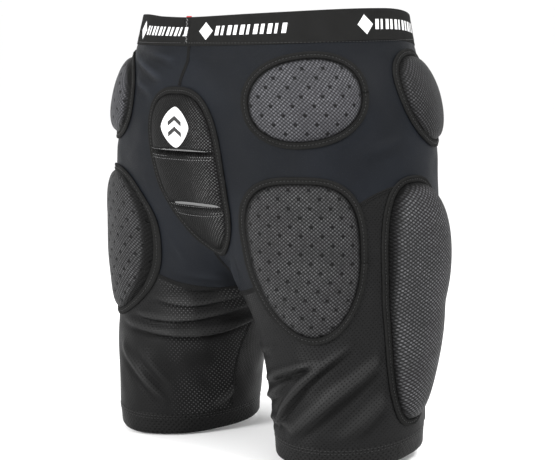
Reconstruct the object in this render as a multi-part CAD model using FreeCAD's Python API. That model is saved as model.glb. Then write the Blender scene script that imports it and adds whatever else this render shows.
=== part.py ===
"""Padded impact shorts, as separate sewn pieces.

Frame: millimetres, +Z up, the wearer faces +Y and the wearer's right is +X.
The origin is the centre of the waist opening, level with the waistband's top edge.

The garment's skin is one formula. Each half is a leg tube that runs from the hem up to the
waist: a squarish ellipse at every height, whose inner side passes x = 0 at the crotch. Above
the crotch the part of the tube beyond x = 0 is left out, so the two halves meet there.
Angles on the tube: 0 is the outer side, 90 the back, 180 the inner side, -90 the front.
"""
import FreeCAD, Part
import math
import os

Vector = FreeCAD.Vector

# ---- Garment sizes
CROTCH_Z = -262.0
HEM_Z = -412.0
WAISTBAND_HEIGHT = 29.0
HEM_HEIGHT = 20.0

# Height, outer x, inner x, depth behind the centre, depth in front, centre y, squareness
SECTIONS = [
    (0.0, 140, -142, 108, 113, 0, 2.1),
    (-40.0, 151, -140, 115, 113, 0, 2.1),
    (-80.0, 169, -130, 118, 114, 0, 2.1),
    (-120.0, 178, -110, 115, 112, -1, 2.1),
    (-160.0, 182, -82, 106, 106, -4, 2.15),
    (-200.0, 186, -50, 93, 99, -5, 2.2),
    (-235.0, 187, -21, 88, 93, -5, 2.2),
    (CROTCH_Z, 185, 0, 86, 88, -5, 2.15),
    (-290.0, 184, 22, 84, 82, -7, 2.1),
    (-340.0, 179, 46, 81, 76, -12, 2.05),
    (HEM_Z, 176, 57, 77, 74, -14, 2.0),
]

# ---- Cloth
FABRIC = 1.2            # panel thickness, measured inwards from the skin
BAND_INNER = 1.5        # the elastic reaches this far inside the skin
BAND_OUTER = 0.7        # and this far outside it
HEM_INNER = 1.8         # the turned-up hem is two layers
HEM_OUTER = 0.2
SEAM_GAP = 0.4          # between neighbouring pieces
CENTRE_GAP = 0.15       # each half stops this far from x = 0
SIDE_SEAM_ANGLE = -48.0  # the side seam lies forward of the hip
SEAM_GAP_ANGLE = 0.15
JOIN_WIDTH = 11.0       # doubled elastic inside the waistband's ends
JOIN_THICKNESS = 1.2
JOIN_MARGIN = 1.0       # it ends this far from the band's edges

# The seam between stretch panel and mesh leg: high on the outside, down to the crotch
LEG_SEAM_OUTER_X = 180.0
LEG_SEAM_OUTER_Z = -159.0
LEG_SEAM_POWER = 2.5
LEG_SEAM_REACH = 1.2    # the seam's formula stops rising beyond this share of its outer x

# Heights that the cloth is lofted through
CLOTH_HEIGHTS = [-WAISTBAND_HEIGHT - SEAM_GAP, -55, -80, -110, -140, -170, -200, -225, -245,
                 CROTCH_Z, -280, -310, -340, -368, HEM_Z + HEM_HEIGHT + SEAM_GAP]
SEAM_HEIGHTS = [20, -20, -60, -100, -140, -180, -220, -250, -275, -310, -350, -390, -430]

# ---- Pads
PAD_CLEARANCE = 1.0     # between the skin and a pad's underside
BINDING_WIDTH = 7.5
BINDING_HEIGHT = 2.4
COVER_THICKNESS = 0.9
COVER_GAP = 0.12
PAD_MARGIN = 12.0       # pad layers are lofted this far past the outline, then cut to it
HOLLOW_DEPTH = 3.0      # the cover's hollow is cut from this far below its underside
WALL_HEIGHT = 5.5       # foam height at the pad's edge
CHANNEL_WIDTH = 3.0     # sewn channel between the tailbone segments
TAIL_CLEARANCE = 0.7
TAIL_BRIDGE = 14.0      # the tailbone pad bridges the cleft over about this half width
TAIL_CHANNELS = (-127.0, -178.0)

# Each pad: the azimuth that it faces, its centre (across, z), half width, height above and
# below the centre, squareness above and below, taper, lean, tilt in degrees, crown height,
# and the range of tube angles that it lies in. "Across" runs to the right of someone who
# looks straight at the pad.
PADS = {
    "seat_pad": dict(azimuth=48, across=27.5, z=-78, half_width=58, top=43.5, bottom=43.5,
                     square_top=2.2, square_bottom=2.2, taper=0.0, lean=0.0, tilt=7.0,
                     crown=11.0, angles=(-20, 95)),
    "thigh_pad": dict(azimuth=48, across=26, z=-221.5, half_width=56, top=76.5, bottom=76.5,
                      square_top=3.0, square_bottom=2.0, taper=0.13, lean=-6.0, tilt=0.0,
                      crown=12.0, angles=(-20, 115)),
    "hip_pad": dict(azimuth=100, across=16, z=-80, half_width=45, top=46, bottom=46,
                    square_top=2.1, square_bottom=2.0, taper=0.0, lean=-6.0, tilt=0.0,
                    crown=11.0, angles=(-80, 40)),
    "side_pad": dict(azimuth=85, across=20, z=-263, half_width=40, top=116, bottom=116,
                     square_top=2.6, square_bottom=2.8, taper=0.24, lean=0.0, tilt=0.0,
                     crown=18.0, angles=(-62, 50)),
}
TAIL_PAD = dict(azimuth=0, across=5.5, z=-146, half_width=51, top=80, bottom=81,
                square_top=2.7, square_bottom=2.0, taper=0.08, lean=-8.0, tilt=0.0, crown=9.0)

# ---- Labels
FLAG_LENGTH = 16.0
FLAG_TOP_Z = -308.0
FLAG_HEIGHT = 26.0
FLAG_TURN = 60.0         # the flag lies turned this far forward from straight out
LABEL_THICKNESS = 0.6
FLAG_STANDOFF = 3.6     # the flag's hinge line stands this far off the sloping skin
TAB_WIDTH = 7.0
TAB_TOP_Z = 1.6
TAB_BOTTOM_Z = -6.0
SIZE_LABEL_WIDTH = 24.0
SIZE_LABEL_HEIGHT = 30.0
LABEL_GAP = 0.4

FAR = 600.0             # larger than the garment, for cutting blocks
WEDGE_REACH = 3         # the front wedge reaches this many tube radii out

# ---- How finely the smooth surfaces are sampled
BAND_ROWS = 4
HEM_ROWS = 3
WAIST_POINTS = 16
LEG_POINTS = 24
PAD_ROWS = 18
PAD_ROW_POINTS = 16
OUTLINE_STEP = 12       # degrees between the points of a pad's outline
SEAM_STEP = 15          # between the points of the leg seam
NORMAL_STEP = 0.5


# ---------------------------------------------------------------- the skin
def section(z):
    """The tube's six section values at height z, interpolated smoothly between SECTIONS."""
    z = max(min(z, SECTIONS[0][0]), SECTIONS[-1][0])
    last = len(SECTIONS) - 1
    i = 0
    while i < last - 1 and z < SECTIONS[i + 1][0]:
        i += 1
    z0, z1 = SECTIONS[i][0], SECTIONS[i + 1][0]
    span = z1 - z0
    t = (z - z0) / span

    def slope(k, column):
        low, high = max(k - 1, 0), min(k + 1, last)
        return (SECTIONS[high][column] - SECTIONS[low][column]) / (SECTIONS[high][0] - SECTIONS[low][0])

    values = []
    for column in range(1, 7):
        a, b = SECTIONS[i][column], SECTIONS[i + 1][column]
        m0, m1 = slope(i, column) * span, slope(i + 1, column) * span
        values.append((2 * t**3 - 3 * t**2 + 1) * a + (t**3 - 2 * t**2 + t) * m0
                      + (3 * t**2 - 2 * t**3) * b + (t**3 - t**2) * m1)
    return values


def skin(angle, z):
    """A point of the right half's skin."""
    outer, inner, back, front, centre_y, square = section(z)
    c, s = math.cos(math.radians(angle)), math.sin(math.radians(angle))
    across = math.copysign(abs(c) ** (2 / square), c)
    along = math.copysign(abs(s) ** (2 / square), s)
    depth = back if s > 0 else front
    return Vector((outer + inner) / 2 + (outer - inner) / 2 * across, centre_y - depth * along, z)


def back_y(x, z):
    """The skin's y behind the wearer, at distance x from the centre plane."""
    outer, inner, back, front, centre_y, square = section(z)
    ratio = abs(x - (outer + inner) / 2) / ((outer - inner) / 2)
    return centre_y - back * max(1 - ratio ** square, 0.0) ** (1 / square)


def tail_skin(x, z):
    """The smooth sheet that the tailbone pad lies on. It bridges the cleft at x = 0."""
    return Vector(x, back_y(math.hypot(x, TAIL_BRIDGE), z), z)


def outward(surface, a, z, away_from):
    """Unit normal of surface at (a, z), on the side away from the point away_from(z)."""
    along_a = surface(a + NORMAL_STEP, z) - surface(a - NORMAL_STEP, z)
    along_z = surface(a, z - NORMAL_STEP) - surface(a, z + NORMAL_STEP)
    normal = along_a.cross(along_z)
    normal.normalize()
    if normal.dot(surface(a, z) - away_from(z)) < 0:
        normal = normal * -1
    return normal


def tube_centre(z):
    values = section(z)
    return Vector((values[0] + values[1]) / 2, values[4], z)


def body_centre(z):
    return Vector(0, 0, z)


def spread(low, high, count):
    return [low + (high - low) * k / (count - 1) for k in range(count)]


# ---------------------------------------------------------------- solids from surfaces
def surface_solid(low_grid, high_grid):
    """A closed solid between two grids of points: a smooth loft through one section per row."""
    sections = []
    for low_row, high_row in zip(low_grid, high_grid):
        under, over = Part.BSplineCurve(), Part.BSplineCurve()
        under.interpolate(low_row)
        over.interpolate(high_row[::-1])
        sections.append(Part.Wire([
            under.toShape(), Part.makeLine(low_row[-1], high_row[-1]),
            over.toShape(), Part.makeLine(high_row[0], low_row[0])]))
    return Part.makeLoft(sections, True)


def closed_curve(points):
    curve = Part.BSplineCurve()
    curve.interpolate(points, PeriodicFlag=True)
    return Part.Wire([curve.toShape()])


def ring(outline, heights, low, high):
    """A closed band between two offsets of outline(z, offset)."""
    outer = Part.makeLoft([closed_curve(outline(z, high)) for z in heights], True)
    inner = Part.makeLoft([closed_curve(outline(z, low)) for z in heights], True)
    return outer.cut(inner)


# ---------------------------------------------------------------- waistband, panels, hems
def waist_outline(z, offset):
    """Points round the waist at height z, starting at the front centre, both halves."""
    values = section(z)
    middle, half = (values[0] + values[1]) / 2, (values[0] - values[1]) / 2
    limit = math.degrees(math.acos(math.copysign(abs(middle / half) ** (values[5] / 2), -middle)))
    right = []
    for angle in spread(-limit, limit, WAIST_POINTS):
        normal = outward(skin, angle, z, body_centre)
        point = skin(angle, z) + Vector(normal.x, normal.y, 0) * offset
        right.append(point)
    left = [Vector(-p.x, p.y, p.z) for p in reversed(right[1:-1])]
    return right + left


def leg_outline(z, offset):
    points = []
    for k in range(LEG_POINTS):
        angle = 360.0 * k / LEG_POINTS
        normal = outward(skin, angle, z, tube_centre)
        points.append(skin(angle, z) + Vector(normal.x, normal.y, 0) * offset)
    return points


def waistband():
    heights = spread(0, -WAISTBAND_HEIGHT, BAND_ROWS)
    band = ring(waist_outline, heights, -BAND_INNER, BAND_OUTER)
    slit = Part.makeBox(CENTRE_GAP, FAR, FAR, Vector(-CENTRE_GAP / 2, -FAR, -FAR / 2))
    return band.cut(slit)


def waistband_join():
    """The reinforcing strip inside the band, across the two ends at the centre of the back."""
    high = -BAND_INNER - CENTRE_GAP
    heights = spread(-JOIN_MARGIN, JOIN_MARGIN - WAISTBAND_HEIGHT, BAND_ROWS)
    strip = ring(waist_outline, heights, high - JOIN_THICKNESS, high)
    block = Part.makeBox(JOIN_WIDTH, FAR, FAR, Vector(-JOIN_WIDTH / 2, -FAR, -FAR / 2))
    return strip.common(block)


def leg_seam_z(x):
    """Height of the seam between a stretch panel and the mesh leg, at distance x."""
    share = min(abs(x) / LEG_SEAM_OUTER_X, LEG_SEAM_REACH) ** LEG_SEAM_POWER
    return CROTCH_Z + (LEG_SEAM_OUTER_Z - CROTCH_Z) * share


def seam_block(above):
    """Everything above, or below, the leg seam, which runs straight from front to back."""
    edge_z = FAR if above else -FAR
    shift = SEAM_GAP / 2 if above else -SEAM_GAP / 2
    profile = Part.BSplineCurve()
    reach = int(LEG_SEAM_REACH * LEG_SEAM_OUTER_X)
    profile.interpolate([Vector(x, -FAR / 2, leg_seam_z(x) + shift)
                         for x in range(0, reach + SEAM_STEP, SEAM_STEP)])
    ends = [profile.StartPoint, profile.EndPoint]
    corners = [Vector(p.x, p.y, edge_z) for p in ends]
    wire = Part.Wire([profile.toShape(), Part.makeLine(ends[1], corners[1]),
                      Part.makeLine(corners[1], corners[0]), Part.makeLine(corners[0], ends[0])])
    return Part.Face(wire).extrude(Vector(0, FAR, 0))


def front_wedge(widen):
    """The part of the right tube from the side seam round the front to the inseam."""
    sections = []
    for z in SEAM_HEIGHTS:
        centre = tube_centre(z)
        seam = skin(SIDE_SEAM_ANGLE + widen, z) - centre
        inseam = skin(180 - widen, z) - centre
        far_seam, far_inseam = centre + seam * WEDGE_REACH, centre + inseam * WEDGE_REACH
        sections.append(Part.makePolygon([
            centre, far_seam, Vector(far_seam.x, FAR, z), Vector(far_inseam.x, FAR, z),
            far_inseam, centre]))
    return Part.makeLoft(sections, True, True)


def panels():
    """Stretch and mesh panels of the right half, back and front."""
    cloth = ring(leg_outline, CLOTH_HEIGHTS, -FABRIC, 0.0)
    right = Part.makeBox(FAR, 2 * FAR, 2 * FAR, Vector(CENTRE_GAP, -FAR, -FAR))
    cloth = cloth.common(right)
    front, not_back = front_wedge(-SEAM_GAP_ANGLE), front_wedge(SEAM_GAP_ANGLE)
    made = {}
    for name, above in (("panel", True), ("leg_mesh", False)):
        piece = cloth.common(seam_block(above))
        made["back_" + name] = piece.cut(not_back)
        made["front_" + name] = piece.common(front)
    return made


def hem():
    heights = spread(HEM_Z + HEM_HEIGHT, HEM_Z, HEM_ROWS)
    return ring(leg_outline, heights, -HEM_INNER, HEM_OUTER)


# ---------------------------------------------------------------- pads
def outline_radius(pad, across, z, inset):
    """How far (across, z) lies from the pad's centre: 1 on its outline, moved in by inset."""
    tilt = math.radians(pad["tilt"])
    dx, dz = across - pad["across"], z - pad["z"]
    u, v = dx * math.cos(tilt) + dz * math.sin(tilt), dz * math.cos(tilt) - dx * math.sin(tilt)
    height = (pad["top"] if v > 0 else pad["bottom"]) - inset
    power = pad["square_top"] if v > 0 else pad["square_bottom"]
    u = (u - pad["lean"] * v / height) / (1 + pad["taper"] * v / height)
    width = pad["half_width"] - inset
    return (abs(u / width) ** power + abs(v / height) ** power) ** (1 / power)


def outline_point(pad, turn, inset):
    """A point (across, z) of the pad's outline, moved in by inset. turn runs 0 to 360."""
    c, s = math.cos(math.radians(turn)), math.sin(math.radians(turn))
    height = (pad["top"] if s > 0 else pad["bottom"]) - inset
    power = pad["square_top"] if s > 0 else pad["square_bottom"]
    part = math.copysign(abs(s) ** (2 / power), s)
    u = (pad["half_width"] - inset) * math.copysign(abs(c) ** (2 / power), c)
    u = u * (1 + pad["taper"] * part) + pad["lean"] * part
    v = height * part
    tilt = math.radians(pad["tilt"])
    return (pad["across"] + u * math.cos(tilt) - v * math.sin(tilt),
            pad["z"] + u * math.sin(tilt) + v * math.cos(tilt))


def pad_frame(pad):
    azimuth = math.radians(pad["azimuth"])
    right = Vector(math.cos(azimuth), math.sin(azimuth), 0)
    facing = Vector(math.sin(azimuth), -math.cos(azimuth), 0)
    return right, facing


def prism(pad, inset):
    """A block with the pad's outline, which runs outwards from inside the garment."""
    right, facing = pad_frame(pad)
    points = []
    for turn in range(0, 360, OUTLINE_STEP):
        across, z = outline_point(pad, turn + OUTLINE_STEP / 2, inset)
        points.append(right * across + Vector(0, 0, z))
    face = Part.Face(closed_curve(points))
    return face.extrude(facing * FAR)


def crown_height(pad, across, z):
    """Foam height above the skin: the wall at the pad's edge, rounding up to its crown."""
    inset = BINDING_WIDTH + COVER_THICKNESS + 2 * COVER_GAP
    radius = min(outline_radius(pad, across, z, inset), 1.0)
    return WALL_HEIGHT + (pad["crown"] - WALL_HEIGHT) * (1 - radius ** 2)


def pad_layer(pad, surface, away_from, firsts, low, high):
    """A layer over the pad's whole area. low and high give the height at (across, z)."""
    right = pad_frame(pad)[0]
    first_z, last_z = pad["z"] + pad["top"] + PAD_MARGIN, pad["z"] - pad["bottom"] - PAD_MARGIN
    low_grid, high_grid = [], []
    for first in firsts:
        low_row, high_row = [], []
        for z in spread(first_z, last_z, PAD_ROW_POINTS):
            point = surface(first, z)
            normal = outward(surface, first, z, away_from)
            across = point.dot(right)
            low_row.append(point + normal * low(across, z))
            high_row.append(point + normal * high(across, z))
        low_grid.append(low_row)
        high_grid.append(high_row)
    return surface_solid(low_grid, high_grid)


def make_pad(pad, surface, away_from, firsts, clearance):
    """Foam block, cover and binding of one pad."""
    foam_inset = BINDING_WIDTH + COVER_THICKNESS + 2 * COVER_GAP
    cover_inset = BINDING_WIDTH + COVER_GAP

    def layer(low, high):
        return pad_layer(pad, surface, away_from, firsts, low, high)

    def base(across, z):
        return clearance

    def below(across, z):
        return clearance - HOLLOW_DEPTH

    def foam_top(across, z):
        return crown_height(pad, across, z)

    def cover_inner(across, z):
        return crown_height(pad, across, z) + COVER_GAP

    def cover_outer(across, z):
        return crown_height(pad, across, z) + COVER_GAP + COVER_THICKNESS

    def binding_top(across, z):
        return clearance + BINDING_HEIGHT

    foam = layer(base, foam_top).common(prism(pad, foam_inset))
    hollow = layer(below, cover_inner).common(prism(pad, foam_inset - COVER_GAP))
    cover = layer(base, cover_outer).common(prism(pad, cover_inset)).cut(hollow)
    binding = layer(base, binding_top).common(prism(pad, 0)).cut(prism(pad, BINDING_WIDTH))
    return foam, cover, binding


def tail_segments(foam):
    """The tailbone foam is three blocks, parted by the sewn channels."""
    edges = [FAR] + list(TAIL_CHANNELS) + [-FAR]
    segments = []
    for upper, lower in zip(edges, edges[1:]):
        top, bottom = upper - CHANNEL_WIDTH / 2, lower + CHANNEL_WIDTH / 2
        block = Part.makeBox(FAR, FAR, top - bottom, Vector(-FAR / 2, -FAR, bottom))
        segments.append(foam.common(block))
    return segments


# ---------------------------------------------------------------- labels
def flag_hinge_point():
    """The side seam behind the flag label, level with the label's middle."""
    z = FLAG_TOP_Z - FLAG_HEIGHT / 2
    normal = outward(skin, SIDE_SEAM_ANGLE, z, tube_centre)
    return skin(SIDE_SEAM_ANGLE, z) + normal * FLAG_STANDOFF


def flag_label():
    """A small cloth flag in the right side seam. It turns about the seam."""
    root = flag_hinge_point()
    normal = outward(skin, SIDE_SEAM_ANGLE, root.z, tube_centre)
    azimuth = math.degrees(math.atan2(normal.y, normal.x)) + FLAG_TURN
    plate = Part.makeBox(FLAG_LENGTH, LABEL_THICKNESS, FLAG_HEIGHT,
                         Vector(0, -LABEL_THICKNESS / 2, -FLAG_HEIGHT / 2))
    plate.rotate(Vector(0, 0, 0), Vector(0, 0, 1), azimuth)
    plate.translate(root)
    return plate


def label_y():
    """Where the labels inside the waistband hang, in front of the join strip."""
    return back_y(0, 0) + BAND_INNER + CENTRE_GAP + JOIN_THICKNESS + LABEL_GAP


def label_tab():
    return Part.makeBox(TAB_WIDTH, LABEL_THICKNESS, TAB_TOP_Z - TAB_BOTTOM_Z,
                        Vector(-TAB_WIDTH / 2, label_y(), TAB_BOTTOM_Z))


def size_label():
    return Part.makeBox(SIZE_LABEL_WIDTH, LABEL_THICKNESS, SIZE_LABEL_HEIGHT,
                        Vector(-SIZE_LABEL_WIDTH / 2, label_y(),
                               TAB_BOTTOM_Z - LABEL_GAP - SIZE_LABEL_HEIGHT))


# ---------------------------------------------------------------- the assembly
def mirrored(shape):
    return shape.mirror(Vector(0, 0, 0), Vector(1, 0, 0))


def build():
    nodes = {"waistband": waistband(), "waistband_join": waistband_join(),
             "label_tab": label_tab(), "size_label": size_label(),
             "flag_label": flag_label()}
    paired = panels()
    paired["hem"] = hem()
    for name, pad in PADS.items():
        firsts = spread(pad["angles"][0], pad["angles"][1], PAD_ROWS)
        foam, cover, binding = make_pad(pad, skin, tube_centre, firsts, PAD_CLEARANCE)
        paired[name + "_foam"] = foam
        paired[name + "_cover"] = cover
        paired[name + "_binding"] = binding
    for name, shape in paired.items():
        nodes[name + "_right"] = shape
        nodes[name + "_left"] = mirrored(shape)

    middle, reach = TAIL_PAD["across"], TAIL_PAD["half_width"] + PAD_MARGIN
    firsts = spread(middle - reach, middle + reach, PAD_ROWS)
    foam, cover, binding = make_pad(TAIL_PAD, tail_skin, body_centre, firsts, TAIL_CLEARANCE)
    for place, segment in zip(("upper", "middle", "lower"), tail_segments(foam)):
        nodes["tail_pad_foam_" + place] = segment
    nodes["tail_pad_cover"] = cover
    nodes["tail_pad_binding"] = binding
    return nodes


def main():
    os.makedirs("parts", exist_ok=True)
    nodes = build()
    for name in sorted(nodes):
        shape = nodes[name]
        solids = shape.Solids
        if len(solids) != 1 or not shape.isValid():
            print("check", name, "solids", len(solids), "valid", shape.isValid())
        shape = solids[0] if len(solids) == 1 else shape
        shape.exportStep("parts/" + name + ".step")
        print("%-26s %9.1f mm3" % (name, shape.Volume))
    hinge = flag_hinge_point()
    print("flag hinge", round(hinge.x, 2), round(hinge.y, 2), round(hinge.z, 2))
    print("size label hinge", 0, round(label_y() + LABEL_THICKNESS / 2, 2), TAB_BOTTOM_Z - LABEL_GAP / 2)


main()
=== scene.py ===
import math

import bpy
import numpy as np
from mathutils import Matrix, Vector
from mathutils.bvhtree import BVHTree


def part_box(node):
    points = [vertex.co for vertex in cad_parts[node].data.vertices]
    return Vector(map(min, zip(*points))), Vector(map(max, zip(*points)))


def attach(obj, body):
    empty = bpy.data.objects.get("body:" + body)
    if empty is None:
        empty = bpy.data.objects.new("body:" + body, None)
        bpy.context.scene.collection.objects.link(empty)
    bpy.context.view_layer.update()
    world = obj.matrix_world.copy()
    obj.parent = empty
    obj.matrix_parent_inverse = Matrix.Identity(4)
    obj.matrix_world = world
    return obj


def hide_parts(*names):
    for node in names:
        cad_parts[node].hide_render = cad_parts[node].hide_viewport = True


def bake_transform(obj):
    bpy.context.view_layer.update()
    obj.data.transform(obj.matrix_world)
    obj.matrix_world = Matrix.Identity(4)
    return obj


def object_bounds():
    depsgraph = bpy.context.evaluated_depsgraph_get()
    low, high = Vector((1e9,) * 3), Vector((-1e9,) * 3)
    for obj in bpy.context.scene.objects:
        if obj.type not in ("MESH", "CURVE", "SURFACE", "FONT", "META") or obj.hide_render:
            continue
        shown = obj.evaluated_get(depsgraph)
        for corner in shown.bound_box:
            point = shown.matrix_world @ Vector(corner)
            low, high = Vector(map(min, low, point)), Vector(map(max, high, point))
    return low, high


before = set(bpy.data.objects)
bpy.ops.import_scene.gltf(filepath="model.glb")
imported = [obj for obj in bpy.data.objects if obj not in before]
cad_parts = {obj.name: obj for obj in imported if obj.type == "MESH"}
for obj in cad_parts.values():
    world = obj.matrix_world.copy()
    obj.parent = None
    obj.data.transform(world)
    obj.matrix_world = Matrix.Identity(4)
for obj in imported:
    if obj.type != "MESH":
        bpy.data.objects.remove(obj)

cad_box = [list(corner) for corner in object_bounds()]
MM = 0.001
SIDES = {"right": 1, "left": -1}

# ---------------------------------------------------------------- sizes shared with the CAD
CROTCH_Z = -262.0
HEM_Z = -412.0
HEM_TOP_Z = -392.0
BAND_BOTTOM_Z = -29.0
# Height, outer x, inner x, depth behind, depth in front, centre y, squareness
SECTIONS = np.array([
    (0, 140, -142, 108, 113, 0, 2.1),
    (-40, 151, -140, 115, 113, 0, 2.1),
    (-80, 169, -130, 118, 114, 0, 2.1),
    (-120, 178, -110, 115, 112, -1, 2.1),
    (-160, 182, -82, 106, 106, -4, 2.15),
    (-200, 186, -50, 93, 99, -5, 2.2),
    (-235, 187, -21, 88, 93, -5, 2.2),
    (CROTCH_Z, 185, 0, 86, 88, -5, 2.15),
    (-290, 184, 22, 84, 82, -7, 2.1),
    (-340, 179, 46, 81, 76, -12, 2.05),
    (HEM_Z, 176, 57, 77, 74, -14, 2.0),
], float)
FABRIC = 1.2
SIDE_SEAM_ANGLE = -48.0
SEAM_OUTER_X = 180.0
SEAM_OUTER_Z = -159.0
SEAM_POWER = 2.5
BRIDGE = 14.0           # the cleft between the halves is rounded over this half width
BRIDGE_FADE = 55.0      # the rounding comes in over this height above the crotch
BRIDGE_REACH = (18.0, 45.0)     # and goes out between these distances from the centre plane
BINDING_WIDTH = 7.5
COVER_LIFT = 1.02       # from the foam's top to the cover's outside
# Azimuth faced, centre across and up, half width, top, bottom, squareness above and below,
# taper, lean, tilt, crown height, range of tube angles, extra height at the top as a share.
# The side pad is drawn fuller than its CAD solid, whose crown is 18 with no extra height.
PAD_KEYS = ("azimuth", "across", "z", "half_width", "top", "bottom", "square_top",
            "square_bottom", "taper", "lean", "tilt", "crown", "angles", "upper_swell")
PADS = {
    "seat_pad": (48, 27.5, -78, 58, 43.5, 43.5, 2.2, 2.2, 0, 0, 7, 11, (-20, 95), 0),
    "thigh_pad": (48, 26, -221.5, 56, 76.5, 76.5, 3.0, 2.0, 0.13, -6, 0, 12, (-20, 115), 0),
    "hip_pad": (100, 16, -80, 45, 46, 46, 2.1, 2.0, 0, -6, 0, 11, (-80, 40), 0),
    "side_pad": (85, 20, -263, 40, 116, 116, 2.6, 2.8, 0.24, 0, 0, 20.5, (-62, 50), 0.6),
    "tail_pad": (0, 5.5, -146, 51, 80, 81, 2.7, 2.0, 0.08, -8, 0, 9, None, 0),
}
PADS = {name: dict(zip(PAD_KEYS, values)) for name, values in PADS.items()}
TAIL_CHANNELS = (-127.0, -178.0)
DIMPLED = ("seat_pad", "thigh_pad")
NORMAL_STEP = 0.5       # degrees and millimetres to each side when a normal is measured
BISECTIONS = 22


def smooth(low, high, x):
    """0 below low, 1 above high, and an even S between them."""
    t = np.clip((np.asarray(x, float) - low) / (high - low), 0, 1)
    return t * t * (3 - 2 * t)


def signed_power(x, power):
    return np.sign(x) * np.abs(x) ** power


def unit(vectors):
    """The vectors of an array, each made one long."""
    return vectors / np.linalg.norm(vectors, axis=-1, keepdims=True)


# ---------------------------------------------------------------- the garment's skin
def section(z):
    """The six section values at height z, each with z's shape, smoothly between SECTIONS."""
    heights, values = SECTIONS[:, 0], SECTIONS[:, 1:]
    last = len(heights) - 1
    low, high = np.maximum(np.arange(last + 1) - 1, 0), np.minimum(np.arange(last + 1) + 1, last)
    slopes = (values[high] - values[low]) / (heights[high] - heights[low])[:, None]
    z = np.clip(np.asarray(z, float), heights[-1], heights[0])
    i = np.clip(np.searchsorted(-heights, -z, side="right") - 1, 0, last - 1)
    span = (heights[i + 1] - heights[i])[..., None]
    t = (z - heights[i])[..., None] / span
    found = ((2 * t**3 - 3 * t**2 + 1) * values[i] + (t**3 - 2 * t**2 + t) * slopes[i] * span
             + (3 * t**2 - 2 * t**3) * values[i + 1] + (t**3 - t**2) * slopes[i + 1] * span)
    return np.moveaxis(found, -1, 0)


def tube(z):
    """The section at height z: middle, half width, depth behind and in front, centre y, squareness."""
    outer, inner, back, front, centre_y, square = section(z)
    return (outer + inner) / 2, (outer - inner) / 2, back, front, centre_y, square


def skin(angle, z):
    """Points of the right half's skin. Near x = 0 the cleft between the halves is rounded."""
    angle, z = np.broadcast_arrays(np.asarray(angle, float), np.asarray(z, float))
    middle, half, back, front, centre_y, square = tube(z)
    c, s = np.cos(np.radians(angle)), np.sin(np.radians(angle))
    x = middle + half * signed_power(c, 2 / square)
    depth = np.where(s > 0, back, front)
    y = centre_y - depth * signed_power(s, 2 / square)
    bridge = BRIDGE * smooth(CROTCH_Z, CROTCH_Z + BRIDGE_FADE, z)
    rounded_x = x + (np.hypot(x, bridge) - x) * (1 - smooth(*BRIDGE_REACH, x))
    share = np.clip(np.abs(rounded_x - middle) / half, 0, 1)
    rounded_y = centre_y - np.sign(s) * depth * (1 - share ** square) ** (1 / square)
    near = (z > CROTCH_Z) & (x < BRIDGE_REACH[1])
    return np.stack([x, np.where(near, rounded_y, y), z], -1)


def skin_normal(angle, z):
    along_angle = skin(angle + NORMAL_STEP, z) - skin(angle - NORMAL_STEP, z)
    along_z = skin(angle, z - NORMAL_STEP) - skin(angle, z + NORMAL_STEP)
    normal = unit(np.cross(along_z, along_angle))
    here = skin(angle, z)
    middle = tube(here[..., 2])[0]
    out = here - np.stack([middle, 0 * middle, here[..., 2]], -1)
    return normal * np.where((normal * out).sum(-1) < 0, -1.0, 1.0)[..., None]


def centre_angle(z):
    """The tube angle at which a half meets the centre plane; 180 below the crotch."""
    middle, half, _, _, _, square = tube(z)
    return np.degrees(np.arccos(np.clip(-signed_power(middle / half, square / 2), -1, 1)))


def angle_of(points):
    """The tube angle that each point of the right half lies at."""
    middle, half, back, front, centre_y, square = tube(points[..., 2])
    dx = (points[..., 0] - middle) / half
    dy = (centre_y - points[..., 1]) / np.where(points[..., 1] < centre_y, back, front)
    return np.degrees(np.arctan2(signed_power(dy, square / 2), signed_power(dx, square / 2)))


def along_round(angle, z):
    """Distance round the half from tube angle 0, taking it as a circle of its mean radius."""
    _, half, back, front, _, _ = tube(z)
    return np.radians(angle) * ((half + (back + front) / 2) / 2)


def weave_of(points):
    """Cloth coordinates in millimetres: distance round the garment, and height."""
    u = along_round(angle_of(points), points[..., 2])
    return np.stack([u, points[..., 2], 0 * u], -1)


def leg_seam_z(x):
    share = np.minimum(np.abs(x) / SEAM_OUTER_X, 1.2) ** SEAM_POWER
    return CROTCH_Z + (SEAM_OUTER_Z - CROTCH_Z) * share


# ---------------------------------------------------------------- pad outlines
def pad_radius(pad, across, z):
    """How far (across, z) lies from the pad's centre, as a share of its outline."""
    tilt = math.radians(pad["tilt"])
    dx, dz = across - pad["across"], z - pad["z"]
    u, v = dx * math.cos(tilt) + dz * math.sin(tilt), dz * math.cos(tilt) - dx * math.sin(tilt)
    height = np.where(v > 0, pad["top"], pad["bottom"])
    power = np.where(v > 0, pad["square_top"], pad["square_bottom"])
    u = (u - pad["lean"] * v / height) / np.maximum(1 + pad["taper"] * v / height, 0.3)
    return (np.abs(u / pad["half_width"]) ** power + np.abs(v / height) ** power) ** (1 / power)


def pad_outline(pad, turn, inset):
    """Points (across, z) of the pad's outline, moved in by inset. turn is in degrees."""
    c, s = np.cos(np.radians(turn)), np.sin(np.radians(turn))
    height = np.where(s > 0, pad["top"], pad["bottom"]) - inset
    power = np.where(s > 0, pad["square_top"], pad["square_bottom"])
    part = signed_power(s, 2 / power)
    u = (pad["half_width"] - inset) * signed_power(c, 2 / power)
    u = u * (1 + pad["taper"] * part) + pad["lean"] * part
    v = height * part
    tilt = math.radians(pad["tilt"])
    return (pad["across"] + u * math.cos(tilt) - v * math.sin(tilt),
            pad["z"] + u * math.sin(tilt) + v * math.cos(tilt))


def pad_right(pad):
    azimuth = math.radians(pad["azimuth"])
    return np.array([math.cos(azimuth), math.sin(azimuth), 0])


def pad_facing(pad):
    azimuth = math.radians(pad["azimuth"])
    return np.array([math.sin(azimuth), -math.cos(azimuth), 0])


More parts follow.
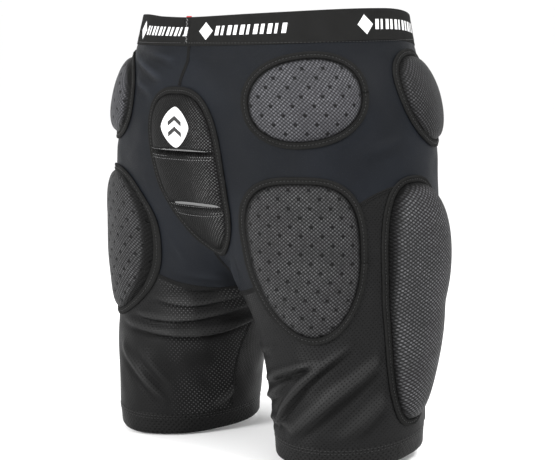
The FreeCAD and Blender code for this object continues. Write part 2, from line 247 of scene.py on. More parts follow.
def back_angle(x, z):
    """The tube angle of the point behind the wearer at distance x from the centre plane."""
    middle, half, _, _, _, square = tube(z)
    share = (x - middle) / half
    return np.degrees(np.arccos(np.clip(signed_power(share, square / 2), -1, 1)))


def centre_sheet(x, z, front=False):
    """Skin points and normals near the centre plane, on either side of it."""
    angle = back_angle(np.abs(x), z) * (-1 if front else 1)
    mirror = np.stack([np.where(x < 0, -1.0, 1.0), np.ones_like(z), np.ones_like(z)], -1)
    return skin(angle, z) * mirror, skin_normal(angle, z) * mirror


def pad_surface(pad, across, z):
    """Skin points and normals under a pad, at (across, z) of its own view."""
    if pad["angles"] is None:
        return centre_sheet(across, z)
    low, high = (np.full(np.shape(z), float(a)) for a in pad["angles"])
    right = pad_right(pad)
    for _ in range(BISECTIONS):
        middle = (low + high) / 2
        beyond = skin(middle, z) @ right > across
        low, high = np.where(beyond, middle, low), np.where(beyond, high, middle)
    return skin(middle, z), skin_normal(middle, z)


FACING_PAD = (0.1, 0.35)        # cosines to a pad's facing between which cloth counts as under it
PAD_HOLD = 12.0         # a pad stops folds up to this far outside its outline


def off_pads(points, normals):
    """1 on open cloth, falling to 0 under and close to the pads."""
    free = np.ones(points.shape[:-1])
    for pad in PADS.values():
        facing = smooth(*FACING_PAD, normals @ pad_facing(pad))
        radius = pad_radius(pad, points @ pad_right(pad), points[..., 2])
        near = 1 - smooth(1.0, 1.0 + PAD_HOLD / pad["half_width"], radius)
        free *= 1 - near * facing
    return free


# ---------------------------------------------------------------- folds in the cloth
# Each fold is a curve through three places (tube angle, height), with the ridge's width and
# height and how far it droops. They are the creases of the worn cloth.
FOLDS = {
    "left": [
        ((66, -293), (133, -307), (188, -291), 4.6, 6.0, 2.4),
        ((74, -281), (119, -293), (174, -278), 4.0, 5.0, 1.6),
        ((95, -269), (130, -277), (166, -264), 3.6, 3.8, 1.0),
        ((108, -256), (135, -261), (168, -250), 4.0, 2.6, 0.8),
        ((112, -243), (138, -250), (168, -243), 5.5, 1.8, 0.6),
        ((120, -190), (132, -215), (150, -238), 4.0, 1.6, 0.0),
        ((112, -196), (126, -220), (146, -246), 4.5, 1.4, 0.0),
        ((150, -395), (172, -378), (195, -352), 6.0, 3.6, 1.0),
        ((74, -324), (102, -352), (128, -382), 5.0, 3.4, 0.0),
        ((98, -322), (114, -344), (134, -368), 5.0, 2.2, 0.0),
    ],
    "right": [
        ((38, -294), (72, -331), (106, -374), 4.2, 6.4, 0.8),
        ((58, -310), (86, -322), (124, -336), 3.8, 5.4, 1.0),
        ((14, -304), (50, -343), (92, -384), 7.5, 5.6, 0.0),
        ((88, -333), (108, -345), (136, -353), 3.8, 4.2, 0.8),
        ((80, -376), (102, -369), (130, -372), 3.8, 3.0, 0.6),
        ((2, -330), (28, -362), (54, -388), 9.0, 3.2, 0.0),
        ((94, -300), (114, -308), (138, -304), 3.6, 2.4, 0.6),
        ((112, -220), (118, -236), (128, -262), 4.0, 2.2, 0.0),
    ],
}
# Soft creases of the stretch panels above the legs
SOFT_FOLDS = {
    "left": [
        ((44, -32), (70, -48), (100, -74), 3.6, 3.2, 0.0),
        ((46, -48), (66, -62), (92, -82), 3.6, 2.6, 0.0),
        ((56, -28), (80, -38), (108, -56), 3.4, 2.4, 0.0),
        ((84, -150), (92, -176), (104, -206), 3.6, 2.0, 0.0),
        ((92, -190), (102, -212), (116, -232), 3.4, 1.8, 0.0),
    ],
    "right": [
        ((-2, -112), (8, -120), (22, -128), 6.0, 1.3, 0.0),
        ((18, -52), (24, -84), (26, -112), 8.0, 1.0, 0.0),
        ((60, -33), (75, -36), (92, -34), 5.0, 0.9, 0.0),
    ],
}
# Guessed folds in front, the same on both sides
FRONT_FOLDS = [
    ((-72, -262), (-110, -276), (-158, -262), 6.0, 2.6, 1.2),
    ((-80, -240), (-112, -252), (-150, -240), 7.0, 1.8, 0.6),
    ((-76, -290), (-112, -306), (-160, -296), 6.0, 2.2, 1.0),
    ((-70, -330), (-95, -352), (-125, -380), 9.0, 1.6, 0.0),
    ((-60, -120), (-78, -160), (-88, -205), 12.0, 1.2, 0.0),
]
FULL_CREASE = 4.0       # a fold this high gets the full painted highlight on its ridge; valleys 0.4 as deep get the full painted shade
DEGREE_LENGTH = 1.5     # millimetres of cloth for one degree round a leg, nearly enough
FOLD_SEGMENTS = 18
FOLD_END_POWER = 0.6    # a fold runs out at its ends as a sine to this power
VALLEY_AT = 1.5         # the valley below a ridge: its distance and width in ridge widths,
VALLEY_WIDTH = 0.8
VALLEY_DEPTH = 0.4      # and its depth as a share of the ridge's height
RIPPLE_HEIGHTS = (0.35, 0.22, 0.12)
HEM_HOLD = 14.0         # folds fade out over this height above the hem,
BAND_HOLD = 10.0        # this height below the waistband,
CENTRE_HOLD = (2, 14)   # and between these distances from the centre plane
# For each worn hem, the tube angle at which it is lowest and how far it has risen at right angles
HEM_RISE = {"right": (42, 11.5), "left": (138, 7.5)}
HEM_RISE_REACH = 100    # degrees from the lowest place beyond which it rises no more


def fold_field(side, angle, z):
    """How far the cloth stands out at (angle, z), and how far it droops."""
    lift, droop = np.zeros(np.shape(angle)), np.zeros(np.shape(angle))
    for start, via, end, width, height, sag in FOLDS[side] + SOFT_FOLDS[side] + FRONT_FOLDS:
        t = np.linspace(0, 1, FOLD_SEGMENTS + 1)
        curve_u, curve_z = [(1 - t) ** 2 * a + 2 * t * (1 - t) * (2 * b - (a + c) / 2) + t ** 2 * c
                            for a, b, c in zip(start, via, end)]
        curve_u = curve_u * DEGREE_LENGTH
        step_u, step_z = np.diff(curve_u), np.diff(curve_z)
        du = angle[..., None] * DEGREE_LENGTH - curve_u[:-1]
        dz = z[..., None] - curve_z[:-1]
        along = np.clip((du * step_u + dz * step_z) / (step_u ** 2 + step_z ** 2), 0, 1)
        over_u, over_z = du - along * step_u, dz - along * step_z
        squared = over_u ** 2 + over_z ** 2
        nearest = squared.argmin(-1)[..., None]
        distance = np.sqrt(np.take_along_axis(squared, nearest, -1)[..., 0])
        lean = np.take_along_axis(over_z, nearest, -1)[..., 0]
        place_along = (nearest + np.take_along_axis(along, nearest, -1))[..., 0] / FOLD_SEGMENTS
        fade = np.sin(np.pi * np.clip(place_along, 0, 1)) ** FOLD_END_POWER
        ridge = np.exp(-(distance / width) ** 2)
        below = np.where(lean < 0, distance, -distance)
        valley = np.exp(-((below - VALLEY_AT * width) / (VALLEY_WIDTH * width)) ** 2)
        lift += fade * height * (ridge - VALLEY_DEPTH * valley)
        droop += fade * sag * ridge
    return lift, droop


def ripple(side, angle, z):
    """Slight unevenness of worn cloth: three waves whose lengths never fall together."""
    shift = 0.0 if side == "right" else 2.1
    a = np.radians(angle)
    waves = (np.sin(5 * a + z / 31 + shift) * np.sin(z / 23 + 2 * a),
             np.sin(11 * a - z / 17 + 2 * shift), np.sin(19 * a + z / 7.3 + shift))
    return sum(height * wave for height, wave in zip(RIPPLE_HEIGHTS, waves))


def cloth(side, angle, z):
    """Points and normals of one half's cloth, folds included, and the folds' height there."""
    angle, z = np.broadcast_arrays(np.asarray(angle, float), np.asarray(z, float))
    points, normals = skin(angle, z), skin_normal(angle, z)
    lift, droop = fold_field(side, angle, z)
    ends = (smooth(HEM_TOP_Z, HEM_TOP_Z + HEM_HOLD, z)
            * smooth(BAND_BOTTOM_Z, BAND_BOTTOM_Z - BAND_HOLD, z))
    centre = smooth(*CENTRE_HOLD, np.abs(points[..., 0]))
    free = off_pads(points, normals) * ends * centre
    points = points + normals * ((lift + ripple(side, angle, z)) * free)[..., None]
    points[..., 2] -= droop * free
    return mirrored(points, side), mirrored(normals, side), lift * free


def hem_shift(side, angle):
    """How far the worn hem rides up, at a tube angle."""
    lowest, rise_there = HEM_RISE[side]
    turn = np.mod(np.asarray(angle, float) - lowest + 180, 360) - 180
    turn = np.clip(turn, -HEM_RISE_REACH, HEM_RISE_REACH)
    return rise_there * (1 - np.cos(np.radians(turn)))


# ---------------------------------------------------------------- how the cloth follows a leg
LEG_FOLLOWS_Z = (-290, -105)    # cloth goes over from following the leg to the pelvis here
BESIDE_REACH = 50       # beside the tailbone pad, cloth is freed from the pelvis over this distance
FREED_DEPTH = 80        # and below the crotch over this height


def leg_share(points):
    """0 where cloth follows the pelvis, 1 where it follows the leg, for points of a side."""
    x, z = np.abs(points[..., 0]), points[..., 2]
    down = 1 - smooth(*LEG_FOLLOWS_Z, z)
    tail = PADS["tail_pad"]
    drop = np.clip((z - tail["z"]) / -tail["bottom"], -1, 1)
    reach = tail["across"] + tail["half_width"]
    edge = np.where(z < CROTCH_Z, 0, reach * np.sqrt(1 - np.maximum(drop, 0) ** 2))
    beside = smooth(0, BESIDE_REACH, x - edge)
    freed = smooth(CROTCH_Z, CROTCH_Z - FREED_DEPTH, z)
    return down * (1 - (1 - beside) * (1 - freed))


def follow_leg(piece):
    """Bakes the piece's transform and works out how far each point would follow its leg; the piece is
    not bent.
    """
    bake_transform(piece)
    share = leg_share(read_points(piece.data) / MM)


# ---------------------------------------------------------------- meshes
SHARP_ANGLE = 48        # degrees between two faces from which their edge is shaded sharp


def grid_faces(rows, columns, first=0, closed=False):
    """Quads of a grid of points stored row by row. closed joins the last column to the first."""
    r, c = np.meshgrid(np.arange(rows - 1), np.arange(columns if closed else columns - 1),
                       indexing="ij")
    after = (c + 1) % columns
    quads = np.stack([r * columns + c, r * columns + after,
                      (r + 1) * columns + after, (r + 1) * columns + c], -1)
    return (quads.reshape(-1, 4) + first).tolist()


def shell(outer, inner):
    """A closed thin solid between two grids of points."""
    rows, columns = outer.shape[:2]
    points = np.concatenate([outer.reshape(-1, 3), inner.reshape(-1, 3)])
    count = rows * columns
    faces = grid_faces(rows, columns)
    faces += [f[::-1] for f in grid_faces(rows, columns, count)]
    across = [(row * columns + c, row * columns + c + 1, row == 0)
              for row in (0, rows - 1) for c in range(columns - 1)]
    down = [(r * columns + column, (r + 1) * columns + column, column > 0)
            for column in (0, columns - 1) for r in range(rows - 1)]
    for a, b, forward in across + down:
        faces.append([b, a, a + count, b + count] if forward else [a, b, b + count, a + count])
    return points, faces


def volume(points, faces):
    """Signed volume of a closed mesh, in cubic millimetres."""
    corners = np.array([(f[0], f[k], f[k + 1]) for f in faces for k in range(1, len(f) - 1)])
    a, b, c = (points[corners[:, k]] for k in range(3))
    return (a * np.cross(b, c)).sum() / 6


def new_piece(name, points, faces, material, weave):
    """A mesh piece from millimetre points. weave, in millimetres, places the pattern."""
    if volume(points, faces) < 0:
        faces = [f[::-1] for f in faces]
    mesh = bpy.data.meshes.new(name)
    mesh.from_pydata((points * MM).tolist(), [], faces)
    mesh.polygons.foreach_set("use_smooth", [True] * len(mesh.polygons))
    mesh.set_sharp_from_angle(angle=math.radians(SHARP_ANGLE))
    attribute = mesh.attributes.new("weave", "FLOAT_VECTOR", "POINT")
    attribute.data.foreach_set("vector", (weave * MM).astype(np.float32).ravel())
    mesh.materials.append(material)
    piece = bpy.data.objects.new(name, mesh)
    bpy.context.scene.collection.objects.link(piece)
    return piece


def front_on(points):
    """Cloth coordinates of a piece that is seen from behind or in front."""
    return points[:, [0, 2, 1]]


def add(name, form, material, weave, follows, slot=None, *nodes):
    """A piece from a form, which is its points and faces. The slot argument is not used.

    It follows a body; a piece of a side only has its transform baked. It stands for the nodes.
    """
    piece = new_piece(name, *form, MATERIALS[material], weave)
    if follows in SIDES:
        follow_leg(piece)
    else:
        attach(piece, follows)
    if nodes:
        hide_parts(*nodes)
    return piece


def read_points(mesh):
    co = np.empty(len(mesh.vertices) * 3)
    mesh.vertices.foreach_get("co", co)
    return co.reshape(-1, 3)


def mirrored(points, side):
    return points * np.array([SIDES[side], 1, 1])


def store(piece, name, values):
    """Stores one number for each of the piece's vertices."""
    attribute = piece.data.attributes.new(name, "FLOAT", "POINT")
    attribute.data.foreach_set("value", values.astype(np.float32))


# ---------------------------------------------------------------- materials
class Nodes:
    """A short way to write a node tree: each method adds a node and returns its output."""

    def __init__(self, name):
        self.material = bpy.data.materials.new(name)
        self.material.use_nodes = True
        self.tree = self.material.node_tree
        self.shader = self.tree.nodes["Principled BSDF"]

    def add(self, kind, **settings):
        node = self.tree.nodes.new(kind)
        for key, value in settings.items():
            setattr(node, key, value)
        return node

    def link(self, value, socket):
        if isinstance(value, bpy.types.NodeSocket):
            self.tree.links.new(value, socket)
        else:
            socket.default_value = value

    def math(self, operation, a, b=0.0):
        node = self.add("ShaderNodeMath", operation=operation)
        self.link(a, node.inputs[0])
        self.link(b, node.inputs[1])
        return node.outputs[0]

    def vector(self, operation, a, b=(0, 0, 0), scale=None):
        node = self.add("ShaderNodeVectorMath", operation=operation)
        self.link(a, node.inputs[0])
        if scale is None:
            self.link(b, node.inputs[1])
        else:
            self.link(scale, node.inputs["Scale"])
        return node.outputs["Value" if operation in ("LENGTH", "DOT_PRODUCT") else "Vector"]

    def ramp(self, value, low, high, to_low=0.0, to_high=1.0):
        node = self.add("ShaderNodeMapRange", interpolation_type="SMOOTHSTEP")
        for socket, number in zip(node.inputs, (value, low, high, to_low, to_high)):
            self.link(number, socket)
        return node.outputs[0]

    def mix(self, share, a, b):
        node = self.add("ShaderNodeMix", data_type="RGBA")
        for socket, value in zip((node.inputs[0], node.inputs[6], node.inputs[7]), (share, a, b)):
            self.link(value, socket)
        return node.outputs[2]

    def weave(self):
        return self.add("ShaderNodeAttribute", attribute_name="weave").outputs["Vector"]

    def with_painted_fold_light(self, tone, painted_valley_shade, painted_ridge_highlight):
        """tone with painted shade in the valleys of folds and a painted highlight on their ridges."""
        fold = self.add("ShaderNodeAttribute", attribute_name="crease").outputs["Fac"]
        tone = self.mix(self.ramp(fold, -0.40, -0.03, 0.85, 0.0), tone, painted_valley_shade)
        return self.mix(self.ramp(fold, 0.15, 1.0, 0.0, 0.65), tone, painted_ridge_highlight)

    def noise(self, vector, scale, detail=2.0):
        node = self.add("ShaderNodeTexNoise")
        self.link(vector, node.inputs["Vector"])
        node.inputs["Scale"].default_value = scale
        node.inputs["Detail"].default_value = detail
        return node.outputs["Fac"]

    def wobble(self, vector, size):
        """vector moved about at random by up to half of size."""
        node = self.add("ShaderNodeTexNoise")
        self.link(vector, node.inputs["Vector"])
        node.inputs["Scale"].default_value = 60.0
        shift = self.vector("SUBTRACT", node.outputs["Color"], (0.5, 0.5, 0.5))
        return self.vector("ADD", vector, self.vector("SCALE", shift, scale=size))

    def wave(self, vector, axis, period, distortion=0.0):
        """Bands across one axis with the given period in metres."""
        node = self.add("ShaderNodeTexWave", wave_type="BANDS", bands_direction=axis)
        self.link(vector, node.inputs["Vector"])
        node.inputs["Scale"].default_value = math.pi / 10 / period
        node.inputs["Distortion"].default_value = distortion
        node.inputs["Detail"].default_value = 0.0
        return node.outputs["Fac"]

    def lattice(self, vector, pitch_x, pitch_y):
        """Distance to the nearest point of a staggered lattice, in shares of the pitch."""
        cell = self.vector("MULTIPLY", vector, (1 / pitch_x, 1 / pitch_y, 0.0))
        found = []
        for shift in (0.0, 0.5):
            moved = self.vector("ADD", cell, (shift, shift, 0.0))
            local = self.vector("SUBTRACT", self.vector("FRACTION", moved), (0.5, 0.5, 0.0))
            scaled = self.vector("MULTIPLY", local, (1.0, pitch_y / pitch_x, 0.0))
            found.append(self.vector("LENGTH", scaled))
        return self.math("MINIMUM", *found)

    def finish(self, color, roughness, height, distance, sheen=0.0, specular=0.05):
        """Sets the shader. height drives bump of the given distance in metres."""
        self.link(color, self.shader.inputs["Base Color"])
        self.link(roughness, self.shader.inputs["Roughness"])
        self.shader.inputs["Specular IOR Level"].default_value = specular
        self.shader.inputs["Sheen Weight"].default_value = sheen
        self.shader.inputs["Sheen Roughness"].default_value = 0.45
        bump = self.add("ShaderNodeBump")
        bump.inputs["Distance"].default_value = distance
        bump.inputs["Strength"].default_value = 1.0
        self.link(height, bump.inputs["Height"])
        self.tree.links.new(bump.outputs[0], self.shader.inputs["Normal"])
        return self.material


def grey(value, blue=1.0, red=1.0):
    return (value * red, value, value * blue, 1.0)


def stretch_fabric():
    """Blue-black fine tricot with a soft shine."""
    n = Nodes("stretch_fabric")
    weave = n.weave()
    rib = n.wave(weave, "X", 0.0011, 0.6)
    course = n.wave(weave, "Y", 0.0009, 0.6)
    knit = n.math("ADD", n.math("MULTIPLY", rib, 0.6), n.math("MULTIPLY", course, 0.4))
    cloud = n.noise(weave, 28.0)
    grain = n.noise(weave, 900.0, 1.0)
    share = n.math("ADD", n.math("MULTIPLY", knit, 0.35), n.math("MULTIPLY", cloud, 0.65))
    tone = n.mix(share, (0.0028, 0.0035, 0.0050, 1), (0.0085, 0.0102, 0.0136, 1))
    broad = n.ramp(n.noise(weave, 9.0, 1.0), 0.38, 0.62, 0.0, 0.6)
    tone = n.mix(broad, tone, (0.0028, 0.0034, 0.0046, 1))
    tone = n.mix(n.ramp(grain, 0.60, 0.78, 0.0, 0.35), tone, (0.026, 0.029, 0.035, 1))
    # painted shade in the folds' valleys and a painted highlight on their ridges
    tone = n.with_painted_fold_light(tone, grey(0.0008), (0.022, 0.025, 0.032, 1))
    return n.finish(tone, n.ramp(cloud, 0.3, 0.7, 0.46, 0.58), knit, 0.00016, 0.0, 0.08)


NO_PAINTED_HOLE_LIGHT = 9.0     # metres, farther round than any cloth of this piece reaches: no painted light in the holes


def perforated_mesh(name, tone_low, tone_high, pitch, hole_size, painted_hole_light_from=NO_PAINTED_HOLE_LIGHT):
    """Dark knitted mesh: staggered rows of small holes.

    From the last argument, in metres round the leg, patches of its holes get painted light, as if
    light shone through them.
    """
    n = Nodes(name)
    weave = n.weave()
    distance = n.lattice(n.wobble(weave, 0.0004), pitch, pitch)
    hole = n.ramp(distance, hole_size / 2, hole_size, 1.0, 0.0)
    cloud = n.noise(weave, 35.0)
    around = n.vector("DOT_PRODUCT", weave, (1, 0, 0))
    # painted light in patches of the holes, from a place round the leg onwards
    painted_hole_light_side = n.ramp(around, painted_hole_light_from, painted_hole_light_from + 0.04)
    painted_hole_light_patch = n.math("MULTIPLY", painted_hole_light_side, n.ramp(n.noise(weave, 22.0, 1.0), 0.38, 0.56))
    rib = n.wave(weave, "Y", pitch / 3, 0.8)
    tone = n.mix(cloud, tone_low, tone_high)
    tone = n.mix(n.math("MULTIPLY", rib, 0.3), tone, grey(0.013))
    # painted shade in the folds' valleys and a painted highlight on their ridges
    tone = n.with_painted_fold_light(tone, grey(0.0006), grey(0.022))
    painted_hole_light = n.mix(painted_hole_light_patch, grey(0.0010), grey(0.080))
    tone = n.mix(n.math("MULTIPLY", hole, 0.75), tone, painted_hole_light)
    height = n.math("SUBTRACT", n.math("MULTIPLY", rib, 0.3), hole)
    return n.finish(tone, n.ramp(cloud, 0.3, 0.7, 0.42, 0.56), height, 0.00035, 0.0, 0.08)


def spacer_mesh(name, pitch, shadow, yarn, knot, dimples=False, painted_knot_glint_from=None):
    """Knitted spacer mesh: light yarn knots between dark openings, with painted shade beside the tape
    and along the tailbone pad's channels.

    The last argument, in metres across the piece, is where a painted highlight on the knots begins.
    """
    n = Nodes(name)
    weave = n.weave()
    distance = n.lattice(n.wobble(weave, 0.0009), pitch, pitch * 0.92)
    dot = n.ramp(distance, 0.10, 0.30, 1.0, 0.0)
    web = n.ramp(distance, 0.30, 0.44, 1.0, 0.0)
    cloud = n.noise(weave, 45.0)
    fleck = n.noise(weave, 500.0, 1.0)
    tone = n.mix(web, shadow, yarn)
    strength = n.math("MULTIPLY", dot, n.ramp(fleck, 0.35, 0.62, 0.35, 1.0))
    if painted_knot_glint_from is not None:
        side = n.vector("DOT_PRODUCT", weave, (1, 0, 0))
        # a painted highlight on the knots, only from one place across the piece onwards
        painted_knot_glint = n.ramp(side, painted_knot_glint_from, painted_knot_glint_from + 0.03, 0.15, 1.0)
        strength = n.math("MULTIPLY", strength, painted_knot_glint)
    tone = n.mix(n.math("MULTIPLY", strength, n.ramp(cloud, 0.3, 0.7, 0.6, 1.0)), tone, knot)
    height = n.math("ADD", n.math("MULTIPLY", web, 0.5), n.math("MULTIPLY", dot, 0.5))
    if dimples:
        pit = n.ramp(n.lattice(weave, 0.0185, 0.0165), 0.055, 0.11, 1.0, 0.0)
        # painted shade in the dimples
        tone = n.mix(n.math("MULTIPLY", pit, 0.9), tone, grey(0.003))
        height = n.math("SUBTRACT", height, n.math("MULTIPLY", pit, 1.5))
    rim = n.add("ShaderNodeAttribute", attribute_name="rim").outputs["Fac"]
    # painted shade beside the tape and in the tailbone pad's channels, where the rim attribute is low
    tone = n.mix(rim, grey(0.0018), tone)
    return n.finish(tone, 0.52, height, 0.0005, 0.0, 0.08)


def ribbed_tape(name, tone, rib_axis, period, distance=0.0003, roughness=0.72):
    """Woven or knitted tape with fine ribs."""
    n = Nodes(name)
    weave = n.weave()
    rib = n.wave(weave, rib_axis, period, 0.5)
    cross = n.wave(weave, "Y" if rib_axis == "X" else "X", period * 0.8, 0.5)
    cloud = n.noise(weave, 60.0)
    share = n.math("ADD", n.math("MULTIPLY", rib, 0.45), n.math("MULTIPLY", cloud, 0.55))
    low = tuple(0.62 * t for t in tone[:3]) + (1.0,)
    high = tuple(1.35 * t for t in tone[:3]) + (1.0,)
    height = n.math("ADD", rib, n.math("MULTIPLY", cross, 0.4))
    return n.finish(n.mix(share, low, high), roughness, height, distance, 0.0, 0.04)


def thread(name, tone):
    """Sewing thread with a slight twist."""
    n = Nodes(name)
    place = n.add("ShaderNodeTexCoord").outputs["Object"]
    twist = n.wave(place, "DIAGONAL", 0.0005, 0.0)
    cloud = n.noise(place, 700.0, 1.0)
    low = tuple(0.7 * t for t in tone[:3]) + (1.0,)
    return n.finish(n.mix(cloud, low, tone), 0.5, twist, 0.0001, 0.1, 0.4)


def printed(name, tone):
    """Woven or printed marking with a faint thread texture."""
    n = Nodes(name)
    weave = n.weave()
    rib = n.wave(weave, "X", 0.0009, 0.3)
    cloud = n.noise(weave, 300.0, 1.0)
    low = tuple(0.8 * t for t in tone[:3]) + (1.0,)
    return n.finish(n.mix(cloud, low, tone), 0.6, rib, 0.00012, 0.05, 0.3)


def foam_material():
    n = Nodes("foam")
    weave = n.weave()
    cells = n.noise(weave, 1500.0, 3.0)
    return n.finish(n.mix(cells, grey(0.10), grey(0.20)), 0.9, cells, 0.0003)


MATERIALS = {
    "stretch_fabric": stretch_fabric(),
    # the leg mesh's holes get painted light from 145 mm round the leg
    "leg_mesh": perforated_mesh("leg_mesh", grey(0.0030), grey(0.0080, 1.03), 0.0043, 0.19, 0.145),
    "hem": perforated_mesh("hem_mesh", grey(0.0040), grey(0.0105), 0.0050, 0.27),
    "spacer": spacer_mesh("spacer_mesh", 0.0037, grey(0.0045), grey(0.0150, 1.03), grey(0.105, 1.05)),
    # The seat, thigh and hip pads take copies of one spacer mesh in other tones: painted light on the
    # seat pad's copy, painted shade on the thigh and hip pads' copies
    "spacer_painted_shade": spacer_mesh("spacer_mesh_painted_shade", 0.0037, grey(0.0032), grey(0.0095, 1.03),
                              grey(0.062, 1.05)),
    "spacer_painted_light": spacer_mesh("spacer_mesh_painted_light", 0.0037, grey(0.0070, 1.05), grey(0.026, 1.10),
                                 grey(0.108, 1.08), True),
    "spacer_dimpled_painted_shade": spacer_mesh("spacer_mesh_dimpled_painted_shade", 0.0037, grey(0.0035), grey(0.0125, 1.03),
                                  grey(0.076, 1.03), True),
    # the tailbone pad's knots get a painted highlight only beyond 8 mm across
    "spacer_dark": spacer_mesh("spacer_mesh_dark", 0.0033, grey(0.0006), grey(0.0017),
                               grey(0.090), False, 0.008),
    "binding": ribbed_tape("binding_tape", grey(0.0105, 0.98), "Y", 0.0012),
    "elastic": ribbed_tape("waist_elastic", grey(0.0115, 0.98), "Y", 0.0009, 0.00025, 0.8),
    "seam": ribbed_tape("seam_tape", grey(0.0085), "X", 0.0016),
    "black_thread": thread("black_thread", grey(0.006)),
    "grey_thread": thread("grey_thread", grey(0.013)),
    "pale_thread": thread("pale_thread", grey(0.20)),
    "mark": printed("white_mark", grey(0.66)),
    "mark_dark": printed("dark_mark", grey(0.012)),
    "black_label": printed("black_label", grey(0.014)),
    "white_label": printed("white_label", grey(0.70)),
    "red_tab": printed("red_tab", (0.42, 0.02, 0.02, 1)),
    "foam": foam_material(),
}


# ---------------------------------------------------------------- cloth panels
FRONT_DROP = 10.0       # the worn waistband hangs this much lower in front than behind,
FRONT_DROP_OVER = {"right": (5, 75), "left": (-35, 30)}     # over these degrees past the side
HIP_RISE = 3.2          # it rides up this much on the right hip,
HIP_RISE_AT = 5         # at this tube angle,
HIP_RISE_WIDTH = 42     # and less at this many degrees from it
BACK_DROP = 0.8         # and it sags this much behind,
BACK_DROP_OVER = (60, 110)      # between these tube angles


def band_shift(side, angle):
    """How far the worn waistband rides up on the right hip and hangs in front, at a tube angle."""
    angle = np.asarray(angle, float)
    behind = -BACK_DROP * smooth(*BACK_DROP_OVER, angle)
    hip = HIP_RISE * np.exp(-((angle - HIP_RISE_AT) / HIP_RISE_WIDTH) ** 2)
    front = {name: FRONT_DROP * smooth(*over, -angle) for name, over in FRONT_DROP_OVER.items()}
    return behind + np.where(np.asarray(side) == "right", hip - front["right"], -front["left"])


def column_angle(part, share, z):
    """Tube angle of a panel's column: share 0 to 1 runs from the panel's first edge."""
    centre = centre_angle(z)
    if part == "back":
        return centre + (SIDE_SEAM_ANGLE - centre) * share
    return SIDE_SEAM_ANGLE + (-centre - SIDE_SEAM_ANGLE) * share


def seam_height(part, share):
    """Height at which each column crosses the seam between stretch panel and mesh."""
    z = np.full(np.shape(share), SEAM_START_Z)
    for _ in range(SEAM_STEPS):
        x = skin(column_angle(part, share, z), z)[..., 0]
        z = 0.5 * z + 0.5 * leg_seam_z(x)
    return z


PANEL_COLUMNS = {"back": 150, "front": 84}
PANEL_ROWS = {"panel": 92, "leg_mesh": 84}
SEAM_START_Z = -220.0   # where the search for a seam's height starts
SEAM_STEPS = 60
BAND_TUCK = 0.6         # the cloth runs this far up under the waistband
HEM_TUCK = 0.2          # and this far down into the hem


def panel(part, kind, side):
    share = np.linspace(0, 1, PANEL_COLUMNS[part])
    seam = seam_height(part, share)
    waist_angle = column_angle(part, share, BAND_BOTTOM_Z)
    waist_z = BAND_BOTTOM_Z + BAND_TUCK + band_shift(side, waist_angle)
    hem_z = HEM_TOP_Z - HEM_TUCK + hem_shift(side, column_angle(part, share, HEM_TOP_Z))
    top, bottom = (waist_z, seam) if kind == "panel" else (seam, hem_z)
    down = np.linspace(0, 1, PANEL_ROWS[kind])[:, None]
    z = top + (bottom - top) * down
    outer, normals, lift = cloth(side, column_angle(part, share[None, :], z), z)
    form = shell(outer, outer - normals * FABRIC)
    node = f"{part}_{kind}_{side}"
    fabric = "stretch_fabric" if kind == "panel" else "leg_mesh"
    weave = weave_of(mirrored(form[0], side))
    piece = add(node + "_cloth", form, fabric, weave, side, fabric, node)
    # the folds' height, from which the materials paint shade in the valleys and highlights on the
    # ridges
    store(piece, "crease", np.tile(lift.ravel() / FULL_CREASE, 2))


for side_name in SIDES:
    for part_name in ("back", "front"):
        for kind_name in ("panel", "leg_mesh"):
            panel(part_name, kind_name, side_name)


# ---------------------------------------------------------------- pads
COVER_INSET = 6.6       # the cover's rim is tucked under the tape
COVER_BASE = 0.35
COVER_EDGE = 0.15       # the cover's least thickness
CROWN_POWER = 3.6       # how square the crown's shoulders are: the radius is taken to this power
CROWN_ROUND = 0.55      # and the remaining height to this one
CELL = 3.4              # side of the covers' cells before they are subdivided
SWELL_START = 0.9       # the share of its height that a cover has before the simulation
SWELL_CAP = 3.0         # how far the simulation may move a point
SWELL_FRAMES = 20
SWELL_HELD = 0.97       # the simulation holds a cover beyond this share of its radius
RIM_BISECTIONS = 30
LARGEST_REACH = 200.0   # no pad reaches this far from its centre
OUTLINE_POINTS = 3000   # points of an outline before it is divided evenly
TAPE_MIDDLE = 4.1       # the tape's centre line, inside the pad's outline
TAPE_STEP = 1.6
TAPE_GROOVE = 1.75      # height of the tape's stitches
# Across the tape and up from the cloth: two ridges with a stitched groove between them
TAPE_PROFILE = np.array([(-3.1, 0.3), (-3.4, 1.0), (-3.0, 1.85), (-2.0, 2.25), (-0.9, 2.05),
                         (0, 1.6), (0.9, 2.05), (2.0, 2.25), (3.0, 1.85), (3.4, 1.0), (3.1, 0.3)])
STITCH_PITCH = 3.2
STITCH_SIDES = 6
STITCH_STATIONS = ((-0.34, 0.8), (0.0, 1.0), (0.34, 0.8))   # shares of the length and radius
DIMPLE_PITCH = (18.5, 16.5)
DIMPLE_RADIUS = 2.0
DIMPLE_DEPTH = 0.9
DIMPLE_FROM = (1.2, 3.0)        # dimples deepen between these heights of the cover
CHANNEL_HALF_WIDTH = 2.3
CHANNEL_FLOOR = 2.2
CHANNEL_SHADE = 2.0     # the cover gets painted shade up to this far from a channel's middle
FOAM_INSET = 8.64
FOAM_SHARE = 0.8        # the foam's height, as a share of the cover's,
FOAM_GAP = 1.3          # less this gap
FOAM_LEAST = 1.4        # and never under this
FOAM_BASE = 0.6
FOAM_CELL = 6.0
TAIL_BLOCK_GAP = 1.5    # from a channel's middle to the blocks beside it
TAIL_END_SHARE = 0.985  # the outer blocks end at this share of the pad's outline
TAIL_END_HEIGHT = 0.6   # a block's ends have this share of its height
TAIL_BLOCK_SHAPE = (16, 20)
TAIL_REACH = 80.0       # the tailbone pad stays within this distance of its middle
TAIL_SCAN = 641         # places across it at which its width is looked for


def shrunk(pad, inset):
    return dict(pad, half_width=pad["half_width"] - inset, top=pad["top"] - inset,
                bottom=pad["bottom"] - inset)


